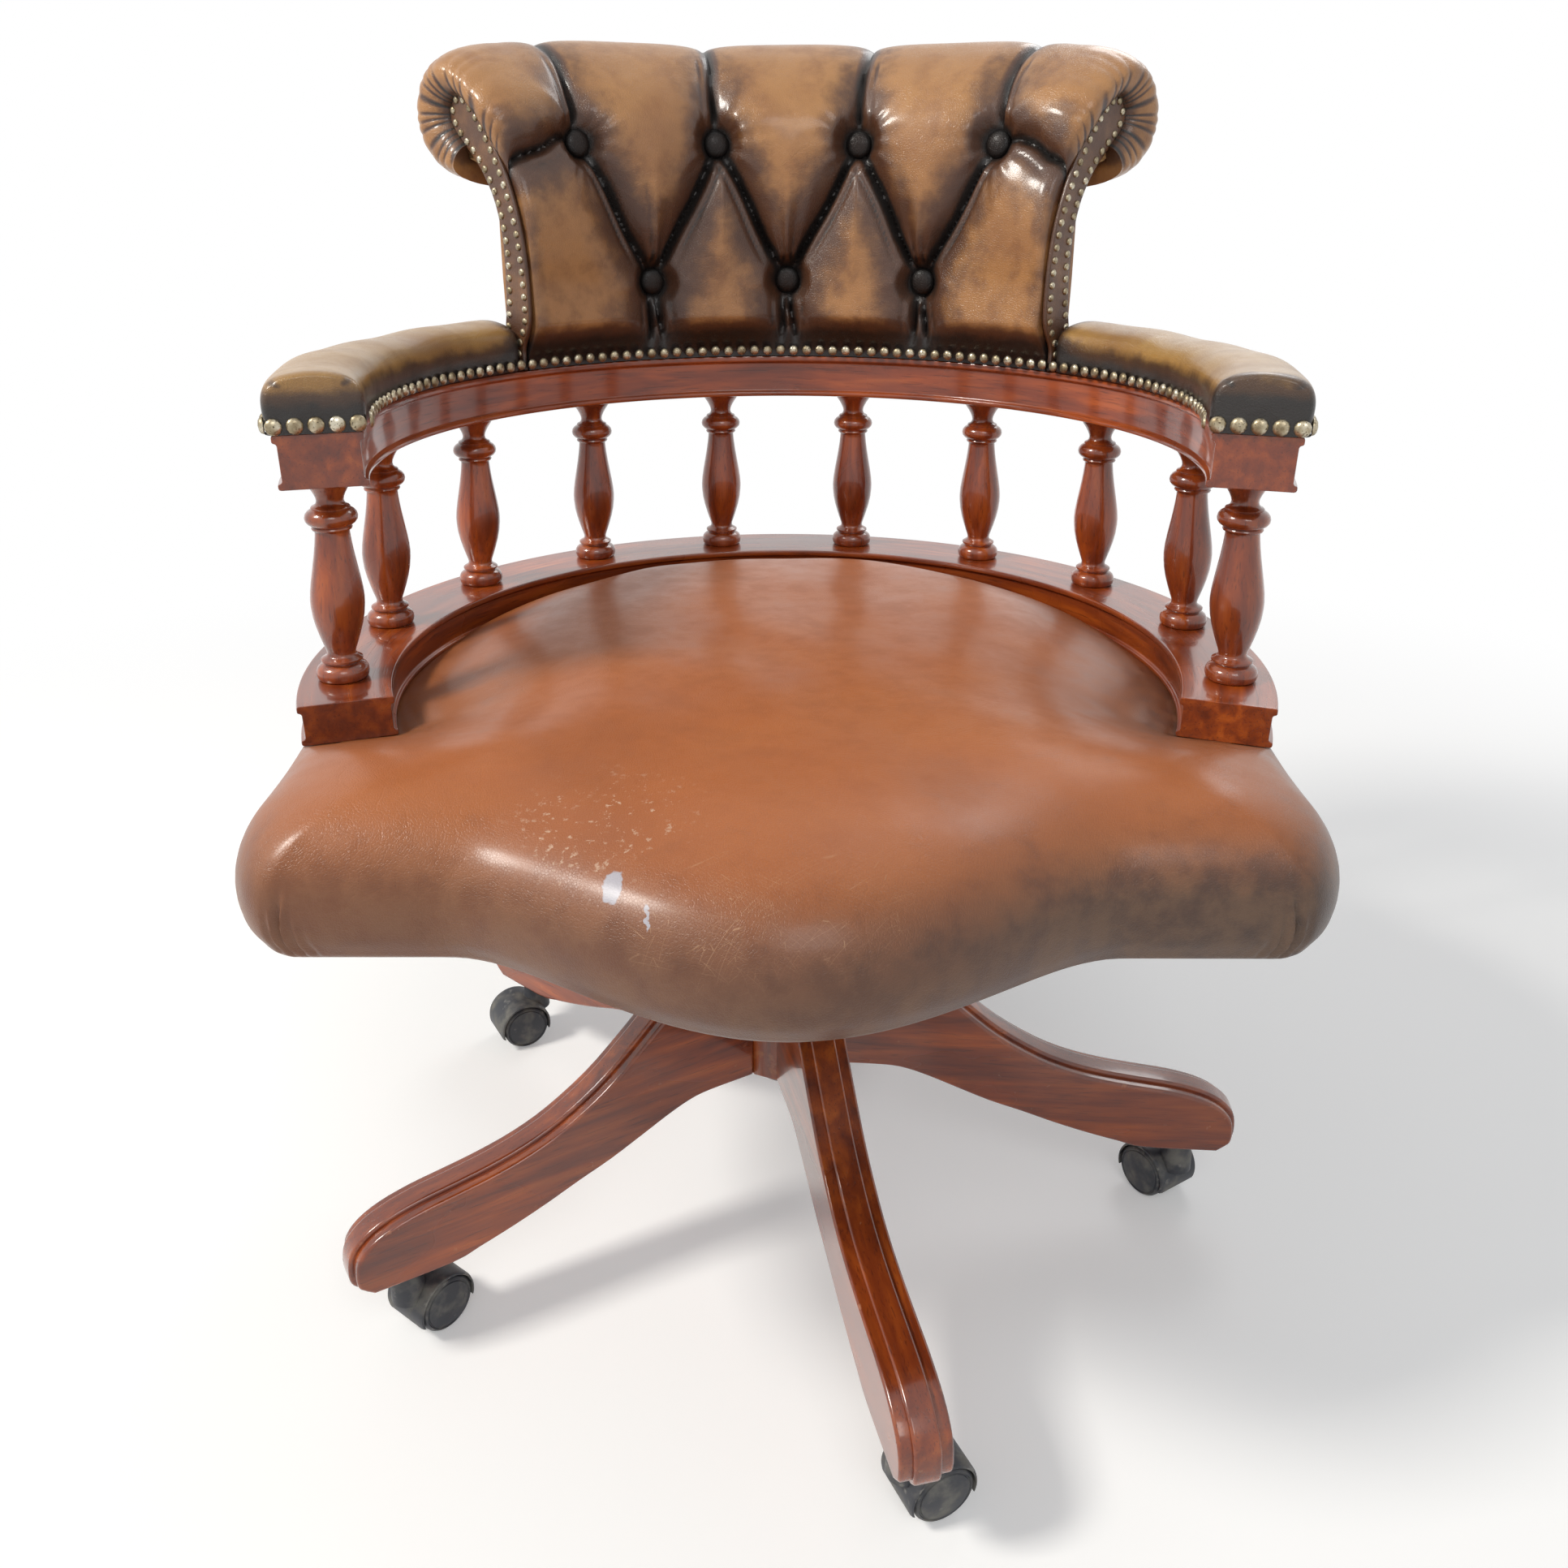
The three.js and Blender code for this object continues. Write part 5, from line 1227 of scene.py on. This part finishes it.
# Painted shade with patina: the sides and foot of the pad are darker than its top.
low_edge_shade_and_patina = np.clip(1.25 - up / 0.62, 0, 1) ** 0.9
boxed = np.clip((shares - 0.72) / 0.12, 0, 1) * bell(runs - pad_length, 5)
for side, name, end_dirt_and_shade in ((1, "right", 0.44), (-1, "left", 0.16)):
    grid = ring_place(side * turns, radius, height)
    # The front end is darkened, more on the right, and the rear end too: soiling mixed with painted
    # shade.
    shades = np.clip(low_edge_shade_and_patina + end_dirt_and_shade * bell(pad_length - runs, 13) + 0.5 * bell(runs, 16), 0, 1)
    # The leather is folded down in a pleat at each corner of the boxed front, and each fold is
    # painted darker as shade.
    for corner in (0.10, 0.90):
        pleat = bell(curve_across - corner, 0.035) * (curve_up > 0.08) * (curve_up < 0.93) * boxed
        grid = grid + (grid.mean(axis=1, keepdims=True) - grid) * pleat[..., None] * 0.035
        shades = np.clip(shades + 0.3 * pleat, 0, 1)
    shades = np.append(shades, [shades[-1, -1]] * 2)
    pad = skin_over(f"arm_pad_{name}_dressed", grid, grid[[0, -1]].mean(axis=1), shades)
    smooth_faces(pad, 70)
    hand_over(pad, "seat", "pad_leather", pad_leather, f"arm_pad_{name}")


# ---- Back board and rear panel
# A bent plywood board with a shaped core along its top, and plain leather tacked over its rear.
# Both are spun round the ring and stand on the upper rail.
BACK_HALF = math.radians(48.6)
BACK_FACE = 262
BACK_RISE = 228
BACK_REACH = 102
BOARD_FRONT = 272
BOARD_REAR = BOARD_FRONT + 6
PANEL_FACE = BOARD_FRONT + 6.3
back_foot = heights_of("back_board")[0]
core_foot = back_foot + 0.62 * BACK_RISE
panel_rise = 0.55 * BACK_RISE


def back_spot(shares):
    """Radius and height on the back from shares of its reach and rise."""
    return np.array(shares) * (BACK_REACH, BACK_RISE) + (BACK_FACE, back_foot)


core_shares = [(0.2, 0.6), (0.5, 0.64), (0.74, 0.74), (0.64, 0.83), (0.36, 0.81), (0.17, 0.7)]
core_points = back_spot(core_shares)
board_section = [
    (BOARD_FRONT, back_foot), (BOARD_REAR, back_foot), (BOARD_REAR, back_foot + 0.56 * BACK_RISE),
    *core_points, (BOARD_FRONT, core_foot),
]
back_board = swept("back_board_dressed", board_section, BACK_HALF, 60)
ease_edges(back_board, 0.8, segments=2, angle=50)
hand_over(smooth_faces(back_board, 30), "seat", "plywood", ply, "back_board")

back_leather = antique_leather(
    "back_leather", (174, 124, 72), (138, 90, 50), (80, 48, 28), (20, 14, 11)
)
rear_section = [
    (0, 0), (2.4, 0), (3.4, 6), (4.6, 30), (5.0, 65), (4.2, 100), (3.0, panel_rise - 2),
    (2.0, panel_rise), (0, panel_rise),
]
rear_section = [(PANEL_FACE + out, back_foot + up) for out, up in rear_section]
rear_panel = smooth_faces(swept("rear_panel_dressed", rear_section, BACK_HALF, 90), 50)
risen = points_of(rear_panel)[:, 2] / MM - back_foot
# Painted shade with patina: darker along the panel's foot on the rail and along its top under the
# roll.
lay_shade(rear_panel, 0.55 * bell(risen, 12) + 0.35 * bell(panel_rise - risen, 14))
hand_over(rear_panel, "seat", "back_leather", back_leather, "rear_panel")


# ---- Buttoned back cushion
# Tan antiqued leather over foam, drawn down by two rows of buttons. Pleats run from button to
# button, down to the rail and up over the roll, and the roll's ends are gathered to the facings.
PITCH = math.radians(23.6)
TUFT_DEPTH = 13
END_REACH = 46
STEPS = 13
LOWER_ROW, UPPER_ROW = 3 * STEPS, 7 * STEPS
line_shares = [
    (0, 0), (0, 0.055), (0.03, 0.16), (0.05, 0.27), (0.045, 0.38), (0.04, 0.49), (0.05, 0.61),
    (0.08, 0.725), (0.14, 0.81), (0.25, 0.895), (0.4, 0.965), (0.6, 1), (0.8, 0.975), (0.94, 0.9),
    (0.985, 0.8), (0.91, 0.7), (0.74, 0.63), (0.53, 0.6),
]
gather_shares = [
    (-0.02, 0), (-0.03, 0.06), (-0.09, 0.16), (-0.095, 0.25), (-0.09, 0.34), (-0.055, 0.45),
    (0.0, 0.54), (0.07, 0.61), (0.145, 0.665), (0.235, 0.725), (0.36, 0.785), (0.48, 0.815),
    (0.55, 0.805), (0.585, 0.785), (0.60, 0.762), (0.585, 0.738), (0.54, 0.715), (0.45, 0.68),
]
line_points = smooth_line(line_shares, STEPS) * (BACK_REACH, BACK_RISE - TUFT_DEPTH)
line_points += (BACK_FACE, back_foot)
line_normals = left_of(line_points)
gather_points = back_spot(smooth_line(gather_shares, STEPS))
run = run_of(line_points)
first_run, lower_run, upper_run, last_run = run[STEPS], run[LOWER_ROW], run[UPPER_ROW], run[-1]
upper_turns = [share * PITCH for share in (-1.5, -0.5, 0.5, 1.5)]
lower_turns = [share * PITCH for share in (-1, 0, 1)]
END_ARC = BACK_HALF * BOARD_FRONT
ends = END_ARC - END_REACH * np.linspace(0, 1, 30)[:-1] ** 2
middle_arcs = np.linspace(-END_ARC + END_REACH, END_ARC - END_REACH, 190)
arcs = np.concatenate([-ends, middle_arcs, ends[::-1]])
arc_grid, run_grid = np.meshgrid(arcs, run, indexing="ij")
from_end = END_ARC - np.abs(arc_grid)
over_roll = towards(upper_run + 6, upper_run + 70, run_grid)


def arc_of(turn):
    return turn * BOARD_FRONT


# The creases: start, end, height of the band folded beside it, its side, darkness of the painted
# shade and patina along it, end of band.
creases = []
for turn in upper_turns:
    here, over = (arc_of(turn), upper_run), (arc_of(turn * 1.02), upper_run + 92)
    side = -1 if turn < 0 else 1
    for low in lower_turns:
        if abs(turn - low) < PITCH:
            creases.append((here, (arc_of(low), lower_run), 1.9, 1 if low > turn else -1, 1.0, 0.9))
    creases.append((here, over, 1.5, side, 0.85, 0.8))
    creases.append((over, (over[0], last_run), 0.4, side, 0.5, 0.9))
for arc in map(arc_of, lower_turns):
    for side in (-1, 1):
        creases.append(((arc + side * 7, 0), (arc + side * 2, lower_run), 1.0, side, 0.85, 0.9))
for side in (-1, 1):
    outermost = arc_of(1.5 * PITCH)
    middle = (side * (outermost + 19), upper_run + 3)
    creases.append(((side * outermost, upper_run), middle, 1.4, side, 0.85, 0.9))
    creases.append((middle, (side * END_ARC, upper_run - 14), 1.4, side, 0.85, 0.9))

nearest = np.full(arc_grid.shape, 1000.0)
pleats = np.zeros(arc_grid.shape)
fold_patina_and_shade = np.zeros(arc_grid.shape)
for (ax, ay), (bx, by), band, side, dark, until in creases:
    dx, dy = bx - ax, by - ay
    size = math.hypot(dx, dy)
    from_x, from_y = arc_grid - ax, run_grid - ay
    along = (from_x * dx + from_y * dy) / size**2
    held = np.clip(along, 0, 1)
    wander = 1.5 * np.sin(held * 5.5 + ax * 0.05) * np.sin(math.pi * held)
    beside = ((from_x * dy - from_y * dx) / size - wander) * side
    far = np.hypot(from_x - held * dx - wander * dy / size, from_y - held * dy + wander * dx / size)
    nearest = np.minimum(nearest, far)
    inside = towards(0.0, 0.14, along) * (1 - towards(until - 0.25, until, along))
    pleats += inside * band * (bell(beside - 5.2, 2.4) - 0.9 * bell(beside - 9.4, 1.6))
    # Each crease is painted near black, shade mixed with patina, with a second dark line beside its
    # folded band.
    fold_patina_and_shade = np.maximum(fold_patina_and_shade, dark * bell(far, 6.5))
    fold_patina_and_shade = np.maximum(fold_patina_and_shade, 0.75 * dark * inside * bell(beside - 9.4, 1.7))

puff = np.sqrt(1 - (1 - np.clip((np.hypot(nearest, 1.4) - 1.4) / 47, 0, 1)) ** 2)
end_fall = np.clip(1 - from_end / 72, 0, 1) ** 2
stand = 21 * puff * (1 - over_roll) + (12.5 - 6.5 * (1 - puff) ** 1.5 - 15 * end_fall) * over_roll
stand += pleats * (1 - 0.6 * over_roll)
stand += 0.5 * np.sin(arc_grid * 0.038 + 0.8) * np.sin(run_grid * 0.033 + arc_grid * 0.011)
# Fine wrinkles fan out from the buttons, longest above the lower ones; the wrinkles' valleys and the
# pits round the buttons are painted dark as shade with patina.
pits = [(turn, upper_run) for turn in upper_turns] + [(turn, lower_run) for turn in lower_turns]
for turn, level in pits:
    across, up = arc_grid - arc_of(turn), run_grid - level
    far, bearing_angle = np.hypot(across, up), np.arctan2(across, up)
    if level == lower_run:
        count, length, fan = 19, 24, bell(bearing_angle, 0.62)
    else:
        count, length, fan = 15, 11, 0.5
    folds = np.cos(bearing_angle * count + 1.7 * turn)
    length = length * (1 + 0.35 * np.sin(bearing_angle * 7 + turn * 9))
    reach = towards(9, 16, far) * np.exp(-np.maximum(far - 15, 0) / length) * fan
    fold_patina_and_shade = np.maximum(fold_patina_and_shade, reach**0.7 * np.clip(-folds, 0, 1) ** 1.5)
    stand += 1.7 * folds * reach
    stand = stand * (0.25 + 0.75 * towards(9, 21, far)) - 1.75 * (1 - towards(9.5, 14, far))
    fold_patina_and_shade = np.maximum(fold_patina_and_shade, np.exp(-((far / 16.0) ** 4)))
    fold_patina_and_shade = np.maximum(fold_patina_and_shade, 0.72 * bell(far, 30))
stand *= towards(first_run - 8, first_run + 20, run_grid)
stand *= 1 - 0.6 * towards(last_run - 40, last_run, run_grid)
# Painted shade with patina: near black along the foot, browner broadly round the creases and towards
# the ends, and a little darker over the lower panels.
fold_patina_and_shade = np.maximum(fold_patina_and_shade, 1 - towards(10, 34, run_grid))
fold_patina_and_shade = np.maximum(fold_patina_and_shade, 0.56 * bell(nearest, 30) * (1 - 0.45 * over_roll))
fold_patina_and_shade += 0.17 * (1 - towards(lower_run - 10, upper_run, run_grid)) * (1 - fold_patina_and_shade)
fold_patina_and_shade = np.maximum(fold_patina_and_shade, 0.34 * (1 - towards(4, 22, from_end)))

# The ends: the leather turns in and is gathered in pleats to the facing's edge, with painted shade in
# the pleats' valleys and where it turns in.
TURN_IN = 0.6
station = np.arange(len(run)) / STEPS
rolled = towards(6.0, 9.0, station)
end_reach = 10 + 24 * rolled
gathered = towards(6.4, 8.2, station)
inward = np.clip(1 - from_end / end_reach, 0, 1)
outer_bend = np.clip(inward / TURN_IN, 0, 1) * math.pi / 2
inner_bend = np.clip((inward - TURN_IN) / (1 - TURN_IN), 0, 1) * math.pi / 2
share = (0.5 * (1 - np.cos(outer_bend)) + 0.5 * np.sin(inner_bend))[..., None]
ridges = np.abs(np.sin(math.pi * (station - 6.4) / 10.6 * 19 + 0.9 * np.sin(station * 3.1))) ** 0.8
stand += gathered * (ridges - 0.55) * 1.5 * np.sin(math.pi * inward**2.2) ** 0.9
fold_patina_and_shade = np.maximum(fold_patina_and_shade, gathered * np.clip(1.2 - ridges, 0, 1) ** 1.3 * towards(0.35, 0.85, inward))
fold_patina_and_shade = np.maximum(fold_patina_and_shade, gathered * 0.85 * inward**4)
sheet = line_points + line_normals * stand[..., None]
sheet += (gather_points - sheet) * share
sheet[:, 0, 1] = back_foot
flare = rolled * (13 + 1.2 * (ridges - 0.5) * inward)
turned_out = END_ARC - end_reach + (end_reach + flare) * np.sin(outer_bend)
turned_out = np.where(inward < TURN_IN, turned_out, END_ARC + flare * np.cos(inner_bend))
swung = np.where(inward > 0, np.sign(arc_grid) * turned_out, arc_grid) / BOARD_FRONT
front = ring_place(swung, sheet[..., 0], sheet[..., 1])
core_line = np.array([*core_points[1:], (BOARD_FRONT, core_foot), (BOARD_FRONT, back_foot)])
core_line -= left_of(core_line) * 1.2
core_line[-1, 1] = back_foot
inside_rows = ring_place(arcs[:, None] / BOARD_FRONT, core_line[:, 0], core_line[:, 1])
grid = np.concatenate([front, inside_rows], axis=1)
shades = np.concatenate([fold_patina_and_shade, np.full(inside_rows.shape[:2], 0.6)], axis=1)
back_cushion = skin_over("back_cushion_dressed", grid, shades=shades)
bpy.ops.object.mode_set(mode="EDIT")
fill_ends(back_cushion, MM / 500)
smooth_faces(back_cushion, 70)
hand_over(back_cushion, "seat", "back_leather", back_leather, "back_cushion")


# ---- Buttons
# Turned blanks covered in dark leather, seven of them, sunk in the pits of the cushion; the leather
# is near black and darker at the rim, partly as painted shade of the pits.
# Each is drawn down by a twine that is tied off behind the back board.
button_leather = antique_leather(
    "button_leather", (30, 18, 12), (22, 13, 9), (14, 9, 7), (8, 6, 5), polish=0.04, gleam=0.25
)
button_side = [
    (0, -1), (8.4, -1), (9.5, -0.2), (9.9, 1.0), (9.6, 2.3), (8.6, 3.5), (7.0, 4.5), (4.4, 5.15),
    (2.0, 5.4), (0, 5.45),
]


def outward(turn):
    """The way out from the middle of the ring, by the angle from the back."""
    return Vector((math.sin(turn), math.cos(turn), 0))


button_rows = (("upper", upper_turns, UPPER_ROW), ("lower", lower_turns, LOWER_ROW))
for row_name, row_turns, row in button_rows:
    out, up = line_normals[row]
    for k, turn in enumerate(row_turns):
        name = f"button_{row_name}_{k + 1}"
        way = outward(turn) * out + Vector((0, 0, up))
        place = ring_place(turn, *line_points[row])
        button = smooth_faces(turned_piece(f"{name}_dressed", button_side, place, way, steps=40), 60)
        from_axis = np.linalg.norm(np.cross(points_of(button) - place, way), axis=1) / MM
        # Painted shade: each button darkens towards its rim, where it sinks into its pit.
        lay_shade(button, 0.15 + 0.6 * towards(5, 10, from_axis))
        hand_over(button, "seat", "button_leather", button_leather, name)


# ---- Facings
# Narrow leather-covered strips that close the two ends of the back, cut to the scroll's outline
# and nailed all round with small dome nails.
FACING_GAP = 0.45
FACING_WALL = 4
facing_shares = [
    (0.2, 0), (0.19, 0.1), (0.14, 0.22), (0.12, 0.36), (0.17, 0.49), (0.27, 0.58), (0.41, 0.65),
    (0.56, 0.71), (0.62, 0.765), (0.59, 0.81), (0.49, 0.835), (0.37, 0.805), (0.23, 0.735),
    (0.06, 0.61), (-0.06, 0.47), (-0.11, 0.33), (-0.11, 0.16), (-0.02, 0.07), (-0.02, 0),
]
facing_curve = back_spot(smooth_line(facing_shares, steps=6))
facing_leather = antique_leather(
    "facing_leather", (160, 112, 66), (132, 88, 50), (82, 50, 30), (28, 18, 13)
)
brass = new_material("antique_nail", Metallic=0.85)
place = brass.where()
tarnish = brass.noise(place, 120.0, 4.0)
speck = brass.noise(place, 900.0, 3.0)
metal = brass.ramp(tarnish, (0.35, (132, 118, 92)), (0.52, (176, 164, 138)), (0.66, (206, 198, 178)))
brass.dress(
    Base_Color=brass.mix(brass.span(speck, 0.55, 0.72), metal, (70, 56, 40)),
    Roughness=brass.span(tarnish, 0.3, 0.7, 0.46, 0.26),
)
brass.bump(speck, 0.0001, 0.4)


def drive_nails(name, radius, height, places, *nodes):
    """Copies of one dome nail set at (place, direction), joined as one strip of nails."""
    dome = [(0, 0), (0.97, 0), (1, 0.14), (0.90, 0.52), (0.62, 0.84), (0, 1)]
    dome = [(across * radius, up * height) for across, up in dome]
    blank = smooth_faces(turned_piece("nail_blank", dome, steps=12), 50)
    nails = []
    for place, way in places:
        facing_out = Vector(way).to_track_quat("Z", "Y").to_matrix().to_4x4()
        nails.append(copy_of(blank, "nail", Matrix.Translation(place) @ facing_out))
    bpy.data.objects.remove(blank)
    put_down()
    for nail in nails:
        nail.select_set(True)
    bpy.context.view_layer.objects.active = nails[0]
    bpy.ops.object.join()
    strip = bpy.context.object
    strip.name = strip.data.name = name
    hand_over(strip, "seat", "antique_brass", brass, *nodes)


nail_line = facing_curve + left_of(facing_curve) * 4.6
nail_run = run_of(nail_line)
nail_stops = np.arange(6, nail_run[-1] - 5, 8.6)
nail_spots = [
    [np.interp(stop, nail_run, nail_line[:, axis]) for axis in (0, 1)] for stop in nail_stops
]
for side, name in ((1, "right"), (-1, "left")):
    turn = side * BACK_HALF
    out, endways = outward(turn), outward(turn + math.pi / 2) * side
    outline = [ring_place(turn, *point) + endways * FACING_GAP * MM for point in facing_curve]
    facing = saw_board(f"facing_{name}_dressed", outline, endways * FACING_WALL)
    ease_edges(facing, 1.5, angle=50)
    smooth_faces(facing, 60)
    from_ring = (points_of(facing) - np.array(ring)) / MM
    radius, height = from_ring @ np.array(out), from_ring[:, 2]
    apart = np.stack([radius, height], axis=1)[:, None] - facing_curve
    edge_gap = np.hypot(apart[..., 0], apart[..., 1]).min(axis=1)
    # Painted shade with patina: darker along the facing's edges and at its foot.
    lay_shade(facing, 0.55 * bell(edge_gap, 3) + 0.4 * bell(height - back_foot, 10))
    hand_over(facing, "seat", "back_leather", facing_leather, f"facing_{name}")
    nail_face = endways * (FACING_GAP + FACING_WALL) * MM
    places = [(ring_place(turn, *point) + nail_face, endways) for point in nail_spots]
    drive_nails(f"facing_nails_{name}", 2.7, 1.7, places)


# ---- Dome nails
# A close row of dome-headed nails holds the leather down all round the inside of the upper rail,
# and larger ones cross the front end of each arm pad and follow its outer edge.
TRIM_FACE = 257.6
TRIM_COUNT = 92
TRIM_HALF = math.radians(107.4)
NAIL_LEVEL = pad_foot + 5.0
places = []
for k, turn in enumerate(np.linspace(-TRIM_HALF, TRIM_HALF, TRIM_COUNT)):
    place = ring_place(turn, TRIM_FACE, NAIL_LEVEL + 0.25 * math.sin(k * 2.4))
    places.append((place, Vector((0, 0, 0.05 * math.sin(k * 1.7))) - outward(turn)))
drive_nails("nail_trim_dressed", 3.8, 2.6, places, "nail_trim")
for side, name in ((1, "right"), (-1, "left")):
    turn = side * PAD_FRONT
    endways = outward(turn + math.pi / 2) * side
    places = []
    for share in 0.08 + 0.21 * np.arange(5):
        place = ring_place(turn, PAD_INNER + (PAD_OUTER - PAD_INNER) * share, NAIL_LEVEL)
        places.append((place + endways * 0.6 * MM, endways))
    for turn in side * np.linspace(math.radians(51.5), PAD_FRONT - math.radians(1.5), 25):
        places.append((ring_place(turn, PAD_OUTER + 1.0, NAIL_LEVEL), outward(turn)))
    drive_nails(f"pad_nails_{name}", 5.0, 3.2, places)


# ---- Floor and light
# A pale floor that fades to white further out, one large soft light from the left as the sun stands,
# and weaker ones that fill from the front and right.
WHITE = (1, 1, 1, 1)


def straight_rays(tree):
    """1 for rays from the camera, off a mirror or through glass, and 0 for the others."""
    rays = tree.add("LightPath").outputs
    seen_through = tree.most(rays["Is Glossy Ray"], rays["Is Transmission Ray"])
    return tree.most(rays["Is Camera Ray"], seen_through)


put_down()
bpy.ops.mesh.primitive_plane_add(size=14, location=(0, 0, 0))
floor = bpy.context.object
floor.name = "floor"
pale = new_material("pale_floor", Roughness=0.85, Specular_IOR_Level=0.2)
place = pale.where()
cloud = pale.noise(place, 1.2, 3.0)
pale.dress(Base_Color=pale.mix(cloud, (0.84, 0.84, 0.84, 1), (0.88, 0.88, 0.88, 1)))
seen_ray = straight_rays(pale)
lifted = pale.add("Emission", {"Color": WHITE, "Strength": pale.times(seen_ray, 0.22)})
near_floor = pale.add("AddShader", {0: pale.shader.outputs[0], 1: lifted.outputs[0]})
white = pale.add("Emission", {"Color": WHITE, "Strength": 1.0})
far_out = pale.vector("LENGTH", place, output="Value")
faded = pale.times(seen_ray, pale.span(far_out, 0.75, 1.9))
ground = pale.add("MixShader", {0: faded, 1: near_floor.outputs[0], 2: white.outputs[0]})
pale.put(pale.tree.nodes["Material Output"].inputs["Surface"], ground.outputs[0])
floor.data.materials.append(pale.material)

world = bpy.data.worlds.new("studio")
bpy.context.scene.world = world
world.use_nodes = True
world.node_tree.nodes.clear()
sky = Nodes(world.node_tree)
upward = sky.add("SeparateXYZ", {"Vector": sky.add("TexCoord").outputs["Generated"]}).outputs["Z"]
strength = sky.span(upward, 0.0, 0.7, 0.62, 0.28)
lit = sky.add("Background", {"Color": (0.96, 0.98, 1.0, 1), "Strength": strength})
seen = sky.add("Background", {"Color": WHITE, "Strength": 1.0})
chosen = sky.add("MixShader", {0: straight_rays(sky), 1: lit.outputs[0], 2: seen.outputs[0]})
sky.add("OutputWorld", {"Surface": chosen.outputs[0]})

for name, place, aim, size, watts, colour in (
    ("key", (-2.5, -0.8, 2.9), (0, 0, 0.45), 0.7, 92, (1.0, 0.96, 0.89)),
    ("fill", (0.5, -2.4, 2.7), (0, 0, 0.5), 1.3, 20, (1.0, 1.0, 1.0)),
    ("rear", (1.2, 2.4, 2.4), (0, 0, 0.5), 1.2, 16, (1.0, 1.0, 1.0)),
):
    lamp = bpy.data.lights.new(name, "AREA")
    lamp.size = size
    lamp.energy = watts
    lamp.color = colour
    holder = bpy.data.objects.new(name, lamp)
    bpy.context.collection.objects.link(holder)
    holder.location = place
    holder.rotation_euler = (Vector(aim) - Vector(place)).to_track_quat("-Z", "Y").to_euler()

bpy.context.scene.view_settings.view_transform = "Standard"
